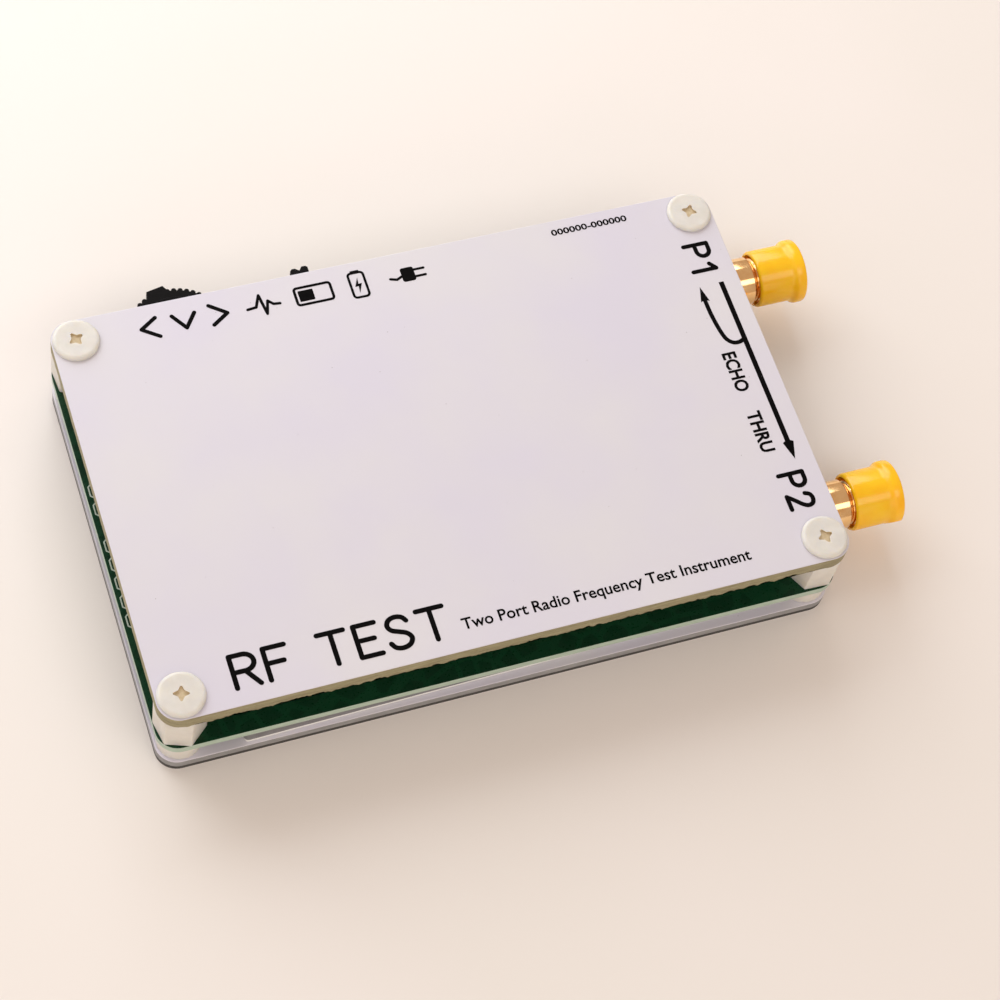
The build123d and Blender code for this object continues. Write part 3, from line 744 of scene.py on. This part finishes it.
def front_screw(corner):
    """A countersunk screw, flush with the panel, that ends in the standoff's lower half."""
    profile = [(0.0, 0.0), (0.0, 2.7), (0.12, 2.86), (1.4, SHANK_R), (8.7, SHANK_R),
               (8.9, SHANK_TIP_R), (8.9, 0.0)]
    return with_recess(lathe(profile, 72), SCREW_TURNS[corner], (-0.5, 0.45), (0.05, 0.8))


piece("rear_nylon_screws", four(rear_screw), "case", [NYLON, RECESS_NYLON], ["rear_screws"])
piece("hex_standoffs", four(standoff), "case", [NYLON], ["standoffs"])
piece("panel_spacer_rings", four(spacer), "case", [NYLON], ["panel_spacers"])
piece("front_nylon_screws", four(front_screw), "case", [NYLON, RECESS_NYLON], ["front_screws"])


# -------------------- printed marks


def side_of(points, half, closed=False):
    """The left side of a pen stroke, rounded on the outside of its turns."""
    count = len(points)
    ways = []
    for (ax, ay), (bx, by) in zip(points, points[1:] + (points[:1] if closed else [])):
        size = hypot(bx - ax, by - ay)
        ways.append(((bx - ax) / size, (by - ay) / size))
    out = []
    for k in range(count):
        x, y = points[k]
        before = ways[k - 1] if (closed or k > 0) else None
        after = ways[k] if (closed or k < count - 1) else None
        if before is None:
            out.append((x - half * after[1], y + half * after[0]))
        elif after is None:
            start = atan2(before[0], -before[1])
            out += [(x + half * cos(start - pi * j / 8), y + half * sin(start - pi * j / 8))
                    for j in range(8)]
        else:
            cross = before[0] * after[1] - before[1] * after[0]
            dot = before[0] * after[0] + before[1] * after[1]
            if closed or cross >= 0 or dot > 0.97:
                share = half / (1 + dot)
                out.append((x - share * (before[1] + after[1]), y + share * (before[0] + after[0])))
            else:
                start = atan2(before[0], -before[1])
                turn = atan2(cross, dot)
                out += [(x + half * cos(start + turn * j / 4),
                         y + half * sin(start + turn * j / 4)) for j in range(5)]
    return out


class Print:
    """Flat ink marks on a face at one height, gathered into one mesh."""

    SUNK = 0.01

    def __init__(self, height, thick=INK):
        self.shape = bmesh.new()
        self.low = height
        self.thick = thick
        self.count = 0

    def top(self):
        """Each stroke is a hair thicker than the last of a few, so crossings never coincide."""
        self.count += 1
        return self.low + self.thick + 0.0012 * (self.count % 5)

    def fill(self, outline):
        """A filled outline, given anticlockwise or not."""
        area = sum(a[0] * b[1] - a[1] * b[0] for a, b in zip(outline, outline[1:] + outline[:1]))
        loop = outline if area > 0 else outline[::-1]
        high = self.top()
        upper = [self.shape.verts.new((x, y, high)) for x, y in loop]
        lower = [self.shape.verts.new((x, y, self.low - self.SUNK)) for x, y in loop]
        self.shape.faces.new(upper)
        band(self.shape, lower, upper)
        self.shape.faces.new(lower[::-1])

    def stroke(self, points, width):
        """A pen stroke with round ends."""
        self.fill(side_of(points, width / 2) + side_of(points[::-1], width / 2))

    def loop(self, points, width):
        """A closed pen stroke."""
        outer = side_of(points, -width / 2, True)
        inner = side_of(points, width / 2, True)
        high, low = self.top(), self.low - self.SUNK
        rings = []
        for line, z in ((outer, high), (inner, high), (inner, low), (outer, low)):
            rings.append([self.shape.verts.new((x, y, z)) for x, y in line])
        for a, b in zip(rings, rings[1:] + rings[:1]):
            band(self.shape, a, b)

    def finish(self, name, colour):
        bmesh.ops.recalc_face_normals(self.shape, faces=self.shape.faces)
        piece(name, self.shape, "case", [colour], sharp=20)


# Each letter's width and its pen strokes, for a letter 1 high.
GLYPHS = {
    "R": (0.62, [[(0, 0), (0, 1)],
                 [(0, 1), (0.34, 1), *arc(0.34, 0.74, 0.26, 75, -75, 8), (0.34, 0.48), (0, 0.48)],
                 [(0.32, 0.48), (0.62, 0)]]),
    "F": (0.56, [[(0.56, 1), (0, 1), (0, 0)], [(0, 0.52), (0.46, 0.52)]]),
    "T": (0.70, [[(0, 1), (0.7, 1)], [(0.35, 1), (0.35, 0)]]),
    "E": (0.56, [[(0.56, 1), (0, 1), (0, 0), (0.56, 0)], [(0, 0.52), (0.46, 0.52)]]),
    "S": (0.60, [smooth_through([(0.56, 0.82), (0.47, 0.95), (0.3, 1.0), (0.12, 0.94),
                                 (0.04, 0.77), (0.12, 0.61), (0.3, 0.52), (0.49, 0.42),
                                 (0.58, 0.25), (0.49, 0.07), (0.3, 0.0), (0.11, 0.05),
                                 (0.01, 0.2)])]),
    "P": (0.60, [[(0, 0), (0, 1)],
                 [(0, 1), (0.32, 1), *arc(0.32, 0.73, 0.27, 75, -75, 8), (0.32, 0.46), (0, 0.46)]]),
    "1": (0.36, [[(0.06, 0.78), (0.32, 1.0), (0.32, 0.0)]]),
    "2": (0.60, [[*smooth_through([(0.03, 0.76), (0.12, 0.94), (0.31, 1.0), (0.50, 0.93),
                                   (0.57, 0.74), (0.48, 0.53), (0.25, 0.27), (0.02, 0.0)]),
                  (0.6, 0.0)]]),
    " ": (0.34, []),
}


def letter_strokes(text, height, gap):
    """Strokes of a line of letters from the origin along +X."""
    strokes = []
    x = 0.0
    for letter in text:
        wide, lines = GLYPHS[letter]
        strokes += [[(x + u * height, v * height) for u, v in line] for line in lines]
        x += wide * height + gap
    return strokes


def down_the_side(points, x, y):
    """Lays text so that it reads towards -Y with its top towards +X."""
    return [(x + v, y - u) for u, v in points]


# The three arrows of the jog switch, a pulse, a slide switch and a battery.
marks = Print(COVER_TOP)
for points in (
    [(-29.8, 25.0), (-31.8, 23.7), (-29.8, 22.3)],
    [(-27.8, 24.7), (-26.4, 22.7), (-25.0, 24.6)],
    [(-23.1, 25.1), (-21.1, 23.6), (-23.1, 22.3)],
):
    marks.stroke(points, 0.5)
pulse = [(-18.6, 23.4), (-17.5, 23.5), (-16.8, 25.1), (-16.4, 22.3), (-15.9, 24.1), (-15.3, 23.5),
         (-14.5, 23.4)]
marks.stroke(pulse, 0.36)
marks.loop(rounded(-12.4, -7.8, 22.5, 24.95, 0.35, 4), 0.34)
marks.fill(rounded(-12.0, -10.1, 22.95, 24.5, 0.1, 3))
marks.loop(rounded(-5.35, -3.4, 21.9, 25.45, 0.4, 4), 0.31)
marks.stroke([(-4.85, 25.68), (-3.9, 25.68)], 0.2)
marks.fill([(-4.25, 24.75), (-4.85, 23.45), (-4.4, 23.5), (-4.5, 22.5), (-3.9, 23.85),
            (-4.35, 23.8)])

# A plain plug with two prongs and a short cord beside the data socket.
marks.stroke([(-0.3, 23.5), (0.5, 23.25), (1.3, 23.6)], 0.34)
marks.fill(rounded(1.2, 2.9, 22.7, 24.7, 0.3, 4))
marks.stroke([(2.9, 23.2), (4.2, 23.2)], 0.32)
marks.stroke([(2.9, 24.2), (4.2, 24.2)], 0.32)

# Port labels and the signal paths between the two ports.
for text, y in (("P1", 19.3), ("P2", -14.7)):
    for line in letter_strokes(text, 3.1, 1.0):
        marks.stroke(down_the_side(line, 37.3, y), 0.56)
marks.fill([(39.92, 13.3), (40.57, 13.3), (40.57, -10.3), (40.95, -10.5), (40.25, -12.9),
            (39.55, -10.5), (39.92, -10.3)])
branch = [(40.2, 4.75), (39.5, 4.45), (38.7, 4.5), (38.05, 5.05), (37.7, 6.0), (37.45, 7.6),
          (37.3, 9.4), (37.28, 11.1)]
marks.stroke(smooth_through(branch), 0.55)
marks.fill([(37.3, 13.2), (36.72, 11.05), (37.28, 11.25), (37.86, 11.0)])

WORD_STRETCH, WORD_X, WORD_Y = 1.13, -33.4, -24.8
for line in letter_strokes("RF TEST", 4.0, 1.05):
    marks.stroke([(WORD_STRETCH * x + WORD_X, y + WORD_Y) for x, y in line], 0.6)
marks.finish("cover_print", BLACK_INK)


def printed_text(text, size, x, y, turn, name, stretch, weight):
    """A line of small type as thin raised ink, its strokes thickened by a weight."""
    curve = bpy.data.curves.new("type", "FONT")
    curve.body = text
    curve.size = size
    curve.extrude = INK / 2
    curve.offset = weight
    curve.resolution_u = 3
    shape = curve_shape(curve)
    bmesh.ops.scale(shape, verts=shape.verts, vec=(stretch, 1, 1))
    bmesh.ops.remove_doubles(shape, verts=shape.verts, dist=1e-5)
    move(shape, x, y, COVER_TOP + INK / 2, turn)
    piece(name, shape, "case", [BLACK_INK], sharp=20)


printed_text("Two Port Radio Frequency Test Instrument", 2.05, -6.2, -24.4, 0, "caption_print",
             0.995, 0.03)
printed_text("000000-000000", 1.2, 21.5, 24.85, 0, "small_print", 1.34, 0.03)
printed_text("ECHO", 2.45, 36.6, 3.4, -90, "echo_print", 0.86, 0.07)
printed_text("THRU", 2.45, 36.6, -5.4, -90, "thru_print", 0.9, 0.07)


# -------------------- silkscreen on the main board

silk = Print(BOARD_TOP, 0.02)
pads = bmesh.new()
eight = [(1.37, -0.62), (1.37, 0.62), (0.62, 1.24), (-0.62, 1.24), (-1.37, 0.62), (-1.37, -0.62),
         (-0.62, -1.24), (0.62, -1.24)]
for y in HEADER_Y:
    silk.loop([(HEADER_X + u, y + v) for u, v in eight], 0.16)
    for low, high in ((BOARD_TOP - 0.02, BOARD_TOP + 0.03), (BOARD_LOW - 0.03, BOARD_LOW + 0.02)):
        pad = plate([ring(0, 0, 1.1, 36), ring(0, 0, PIN_R, 36)], low, high)
        add(pads, move(pad, HEADER_X, y))
silk.finish("board_silkscreen", WHITE_INK)
# The pads carry painted shade.
piece("header_pads", pads, "case", [SHADED_PAD])


# -------------------- display


def in_display(shape):
    """Moves a shape to the display, which sits a little askew."""
    return move(shape, 1.6, -1.1, 0, 1.0)


TRAY_LOW = PANEL_TOP + 0.7
TRAY_WALL_TOP = TRAY_LOW + 1.2
TRAY_OUTLINE = centred(34.6, 25.0, 0.6, 4)
# The film's sides carry the painted highlight of the glass edge.
touch = plate([centred(34.5, 24.9, 0.5, 4)], PANEL_TOP, TRAY_LOW, 0.05)
piece("touch_panel_film", split_faces(in_display(touch)), "case", [TOUCH, GLASS_EDGE_HIGHLIGHT],
      ["touch_panel"])
tray = plate([TRAY_OUTLINE, centred(33.4, 23.8, 0.3, 3)], TRAY_LOW, TRAY_WALL_TOP, 0.05)
tray_floor = plate([TRAY_OUTLINE], TRAY_WALL_TOP, BOARD_LOW - 0.2, 0.05)
piece("display_tray", in_display(join(tray, tray_floor)), "case", [TRAY], ["lcd_frame"])


# -------------------- ports and caps

PORT_Y = 16.85
PORT_Z = 6.65
PORT_X = 42.85
COLLAR_END = 47.15
THREAD_START = 47.35
THREAD_R = 3.175
PITCH = 25.4 / 36
TURNS = 8
PORT_END = THREAD_START + TURNS * PITCH
LEGS_Y = (-2.2, 2.2)
CAP_START = 47.3
CAP_END = 53.65
CAP_BORE_R = 3.225
CAP_FLAT = 3.75
FLAT_TURNS = {1: 25.5, -1: -64.7}


def thread_shape():
    """A helical thread that runs in and out at its ends, with its first and last ring."""
    steps, samples = 48, 12
    shape = bmesh.new()
    rows = []
    for i in range(TURNS * samples + 1):
        row = []
        x = THREAD_START + i * PITCH / samples
        fade = min(1.0, (x - THREAD_START) / (0.8 * PITCH), (PORT_END - x) / (0.5 * PITCH))
        for k in range(steps):
            phase = (i / samples + k / steps) % 1.0
            rise = min(1.0, max(0.0, 1.45 - 3.9 * abs(phase - 0.5)))
            r = THREAD_R - 0.42 * (1 - rise * max(0.0, fade))
            a = 2 * pi * k / steps
            row.append(shape.verts.new((r * cos(a), r * sin(a), x)))
        rows.append(row)
    for low, high in zip(rows, rows[1:]):
        band(shape, low, high)
    return shape, rows[0], rows[-1]


def extend(shape, last, profile):
    """Carries a ring of points on through (height, radius) pairs."""
    for x, r in profile:
        row = circle(shape, x, r, len(last))
        band(shape, last, row)
        last = row


def port_shape(side):
    """A polished barrel, a threaded end and four legs on the board's edge."""
    shape, first, last = thread_shape()
    collar = [(THREAD_START - 0.1, 2.6), (COLLAR_END, 2.62), (COLLAR_END - 0.05, 2.72),
              (COLLAR_END - 0.33, 3.03), (COLLAR_END - 0.42, 3.1), (PORT_X + 0.14, 3.1),
              (PORT_X + 0.04, 3.07), (PORT_X, 3.0), (PORT_X, 0.7), (PORT_X + 0.6, 0.7)]
    extend(shape, first, collar)
    extend(shape, last, [(PORT_END, 2.5), (PORT_END - 0.08, 2.36), (PORT_END - 0.2, 2.3),
                         (PORT_END - 1.9, 2.3), (PORT_END - 1.9, 2.06)])
    bmesh.ops.recalc_face_normals(shape, faces=shape.faces)
    along_x(shape, 0, 0, 0)
    for y in LEGS_Y:
        for low, high in ((BOARD_TOP, BOARD_TOP + 0.9), (BOARD_LOW - 0.9, BOARD_LOW)):
            add(shape, block((PORT_X - 4.4, PORT_X + 0.3), (y - 0.45, y + 0.45),
                             (low - PORT_Z, high - PORT_Z), 0.08))
    return move(shape, 0, side * PORT_Y, PORT_Z)


def port_solder(side):
    """Solder fillets where the legs and the pin meet the board."""
    whole = bmesh.new()
    low = BOARD_TOP - 0.01
    for y in LEGS_Y:
        fillet = rounded(PORT_X - 5.0, PORT_X - 0.4, y - 0.85, y + 0.85, 0.5, 5)
        add(whole, plate([fillet], low, BOARD_TOP + 0.22, 0.1))
    pin_fillet = rounded(PORT_X - 3.0, PORT_X - 0.5, -0.7, 0.7, 0.4, 5)
    add(whole, plate([pin_fillet], low, BOARD_TOP + 0.2, 0.09))
    return move(whole, 0, side * PORT_Y, 0)


def cap_shape(side):
    """A thin translucent sleeve that flares to a rim with one flat."""
    start, end = CAP_START, CAP_END
    outer = [(start, 3.3), (start + 0.04, 3.45), (start + 0.14, 3.58), (start + 0.34, 3.66),
             (end - 2.1, 3.66)]
    flare = [(end - 1.85, 3.68), (end - 1.7, 3.74), (end - 1.5, 3.88), (end - 1.35, 3.99),
             (end - 1.22, 4.06), (end - 1.05, 4.1), (end - 0.3, 4.1), (end - 0.14, 4.05),
             (end - 0.05, 3.95), (end - 0.01, 3.8), (end, 3.6)]
    face = [(end, 2.9), (end - 0.05, 2.7), (end - 0.1, 2.5), (end - 0.1, 0.0)]
    inner = [(PORT_END + 0.15, 0.0), (PORT_END + 0.15, 3.0), (PORT_END, CAP_BORE_R),
             (start + 0.1, CAP_BORE_R), (start, 3.3)]
    skin = lathe([*outer, *flare, *face], 192)
    add(skin, lathe(inner, 192))
    bmesh.ops.remove_doubles(skin, verts=skin.verts, dist=1e-4)
    bmesh.ops.recalc_face_normals(skin, faces=skin.faces)
    move(skin, turn=-FLAT_TURNS[side])
    for vert in skin.verts:
        if vert.co.z > end - 2.0 and vert.co.x > CAP_FLAT:
            vert.co.x = CAP_FLAT
    move(skin, turn=FLAT_TURNS[side])
    return along_x(skin, 0, side * PORT_Y, PORT_Z)


for side, name in ((1, "tx"), (-1, "rx")):
    piece(f"port_{name}_gold", port_shape(side), "case", [GOLD], [f"port_{name}_body"])
    piece(f"port_{name}_solder", port_solder(side), "case", [SOLDER])
    piece(f"cap_{name}_yellow", cap_shape(side), f"{name}_cap", [YELLOW], [f"cap_{name}"])


# -------------------- jog switch and power switch

JOG_X = -26.6
JOG_Y = 25.2


RIM_R = 6.15
TOOTH_R = 0.33
TOOTH_PITCH = 7.5
BUMP_TURN = radians(11.0)
BUMP_TOP, BUMP_TOP_HALF = 6.95, 1.1
BUMP_FOOT, BUMP_FOOT_HALF = 5.2, 1.75


def bump_reach(angle):
    """How far the flat thumb bump reaches at an angle from +Y, 0 away from it."""
    u, v = sin(angle + BUMP_TURN), cos(angle + BUMP_TURN)
    if v <= 0:
        return 0.0
    if abs(u / v) * BUMP_TOP < BUMP_TOP_HALF:
        return BUMP_TOP / v
    if abs(u / v) >= 0.32:
        return 0.0
    slope = (BUMP_TOP - BUMP_FOOT) / (BUMP_TOP_HALF - BUMP_FOOT_HALF)
    y = (BUMP_FOOT - BUMP_FOOT_HALF * slope) / (1 - abs(u / v) * slope)
    return y / v


def jog_outline():
    """A sector with a toothed rim and a flat thumb bump."""
    points = []
    for k in range(481):
        turn = -60.0 + k * 0.25
        r = RIM_R
        tooth = round((turn - 1.25) / TOOTH_PITCH) * TOOTH_PITCH + 1.25
        off = RIM_R * radians(turn - tooth)
        if abs(tooth) <= 57 and abs(off) < TOOTH_R:
            r = max(r, RIM_R + sqrt(TOOTH_R * TOOTH_R - off * off) - 0.02)
        a = radians(turn)
        r = max(r, bump_reach(a))
        points.append((r * sin(a), r * cos(a)))
    return points[::-1]


def jog_knob_shape():
    """The sector on its round hub, with a raised track on top."""
    low, high = box_of("jog_knob")
    outline = jog_outline() + arc(0, 0, 2.2, 162, 378, 26)
    body = plate([outline, ring(0, 0, 0.95, 32)], low.z, high.z, 0.14)
    track = arc(0, 0, 5.1, 35, 145, 30) + arc(0, 0, 4.6, 145, 35, 30)
    add(body, plate([track], high.z - 0.02, high.z + 0.1, 0.04))
    return move(body, JOG_X, JOG_Y, 0)


piece("jog_knob_black", jog_knob_shape(), "jog_dial", [BLACK], ["jog_knob"])


SWITCH_X = -10.65
SLIDER_X = SWITCH_X + 1.0  # half of the travel, towards the ports


def slider_shape():
    """The slider's block and its notched tab."""
    x = SLIDER_X
    inner = block((x - 1.9, x + 1.9), (23.45, 26.25), (BOARD_TOP + 0.85, BOARD_TOP + 3.2), 0.08)
    outline = [(-1.15, 26.1), (1.15, 26.1), (1.15, 30.8), (0.9, 31.0), (0.4, 31.0), (0.0, 30.5),
               (-0.5, 30.88), (-0.9, 30.9), (-1.15, 30.65)]
    tab = plate([[(x + u, v) for u, v in outline]], BOARD_TOP + 1.2, BOARD_TOP + 2.9, 0.05)
    return join(inner, tab)


piece("power_slider_tab", slider_shape(), "power_slider", [BLACK], ["power_switch_slider"])


# -------------------- small parts


TIP = 0.3
SHY = 0.02  # how much thinner the body is than its end caps


def tipped(node, body_finish, name):
    """Chip components with tinned end caps, one for each solid of a CAD node."""
    whole = bmesh.new()
    for low, high in islands(node):
        long_x = high.x - low.x > high.y - low.y
        axis = 0 if long_x else 1
        body_low, body_high = list(low), list(high)
        body_low[axis] += TIP
        body_high[axis] -= TIP
        for k in (1 - axis, 2):
            body_high[k] -= SHY
        body_low[1 - axis] += SHY
        add(whole, block(*zip(body_low, body_high), 0.03))
        for end in (0, 1):
            tip_low, tip_high = list(low), list(high)
            if end:
                tip_low[axis] = high[axis] - TIP - 0.04
            else:
                tip_high[axis] = low[axis] + TIP + 0.04
            add(whole, block(*zip(tip_low, tip_high), 0.06, 3), 1)
    piece(name, whole, "case", [body_finish, SOLDER], [node])


tipped("chip_capacitors", CAPACITOR, "capacitor_group")
tipped("chip_resistors", RESISTOR, "resistor_group")


# -------------------- CAD nodes that are kept

# Finish, slot, softening of the edges in millimetres, and the nodes.
KEPT = [
    (DISPLAY, "display_dark", 0.05, "lcd_glass"),
    (TAPE, "foam", 0.03, "lcd_tape"),
    (RIBBON, "ribbon_film", 0.0, "lcd_ribbon"),
    (BLACK, "black_plastic", 0.08, "jog_switch_body"),
    (STEEL, "tinned_steel", 0.05, "jog_switch_cover"),
    (BLACK, "black_plastic", 0.05, "jog_carrier", "power_switch_base"),
    (STEEL, "tinned_steel", 0.06, "power_switch_shell"),
    (STEEL, "tinned_steel", 0.05, "usb_shell"),
    (BLACK, "black_plastic", 0.04, "usb_tongue"),
    (GOLD, "gold_plate", 0.01, "usb_contacts"),
    (EPOXY, "epoxy_black", 0.05, "mcu_chip", "codec_chip", "clock_chip", "charger_chip",
     "mixer_chips"),
    (EPOXY, "epoxy_black", 0.04, "regulator_chips"),
    (SOLDER, "tinned_steel", 0.02, "ic_leads"),
    (STEEL, "tinned_steel", 0.04, "reference_oscillator", "mcu_crystal"),
    (FERRITE, "ferrite", 0.06, "power_inductor"),
    (LED_CLEAR, "led_clear", 0.04, "status_led", "charge_led"),
    (FOAM, "foam", 0.05, "battery_pad"),
    (POUCH, "cell_pouch", 0.08, "battery_cell"),
    (CONNECTOR, "connector_white", 0.08, "battery_socket", "battery_plug"),
    (LEAD_RED, "lead_red", 0.0, "battery_lead_red"),
    (LEAD_BLACK, "lead_black", 0.0, "battery_lead_black"),
    (PTFE, "ptfe", 0.05, "port_tx_insulator", "port_rx_insulator"),
    (GOLD, "gold_plate", 0.03, "port_tx_contact", "port_rx_contact"),
]


def dress(node, finish, bevel):
    """Gives a kept CAD node its finish and softens its edges."""
    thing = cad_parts[node]
    thing.data.materials.clear()
    thing.data.materials.append(finish)
    if bevel:
        weld = thing.modifiers.new("weld", "WELD")
        weld.merge_threshold = 1e-6
        soften = thing.modifiers.new("soften", "BEVEL")
        soften.width = bevel * MM
        soften.segments = 2
        soften.limit_method = "ANGLE"
        soften.angle_limit = radians(40)
        soften.use_clamp_overlap = True


for finish, slot, bevel, *nodes in KEPT:
    for node in nodes:
        dress(node, finish, bevel)


# -------------------- table, lights and camera

ground = bmesh.new()
bmesh.ops.create_grid(ground, x_segments=8, y_segments=8, size=1.2)
table = in_scene("table", mesh_of(ground, "table"))
table.data.materials.append(make_floor())
table.location.z = -0.05 * MM  # just clear of the panel's face


def softbox(name, place, size, power, colour):
    """A rectangular light that faces the object."""
    data = bpy.data.lights.new(name, "AREA")
    data.shape = "RECTANGLE"
    data.size, data.size_y = size
    data.energy = power
    data.color = colour
    lamp = in_scene(name, data)
    lamp.location = place
    way = Vector((0, 0, 0.008)) - Vector(place)
    lamp.rotation_euler = way.to_track_quat("-Z", "Y").to_euler()


def on_dome(azimuth, elevation, distance):
    """A point round the object: azimuth from +X towards +Y, in degrees."""
    a, e = radians(azimuth), radians(elevation)
    return (distance * cos(e) * cos(a), distance * cos(e) * sin(a), distance * sin(e))


softbox("key", on_dome(104, 33, 0.44), (0.51, 0.44), 2.05, (0.955, 1.0, 1.045))
softbox("strip", on_dome(-92, 55, 0.9), (0.9, 0.36), 2.1, (1.0, 0.99, 0.96))
softbox("front", on_dome(-108, 19, 1.0), (1.2, 0.55), 1.7, (1.0, 0.88, 0.72))
softbox("side", on_dome(178, 30, 1.1), (0.8, 0.6), 0.9, (0.97, 0.96, 1.0))

world = bpy.data.worlds.new("room")
bpy.context.scene.world = world
world.use_nodes = True
background = world.node_tree.nodes["Background"]
background.inputs["Color"].default_value = (0.62, 0.495, 0.42, 1)
background.inputs["Strength"].default_value = 0.9

CAMERA_PLACE = TO_ROW @ Vector((-78.74, -142.55, 296.22))
CAMERA_WAY = Vector((0.25422, 0.41321, -0.87443)).normalized()
CAMERA_ROLL = radians(-15.145)
level = CAMERA_WAY.cross(Vector((0, 0, 1))).normalized()
upright = level.cross(CAMERA_WAY)
camera_up = upright * cos(CAMERA_ROLL) + level * sin(CAMERA_ROLL)
camera_right = CAMERA_WAY.cross(camera_up)
camera_data = bpy.data.cameras.new("camera")
camera_data.lens = 97.6
camera_data.sensor_width = 36.0
camera_data.clip_start = 0.01
camera_data.clip_end = 10.0
camera = in_scene("camera", camera_data)
facing = Matrix((camera_right, camera_up, -CAMERA_WAY)).transposed().to_4x4()
camera.matrix_world = Matrix.Translation(CAMERA_PLACE) @ facing
bpy.context.scene.camera = camera
bpy.context.scene.view_settings.view_transform = "Standard"
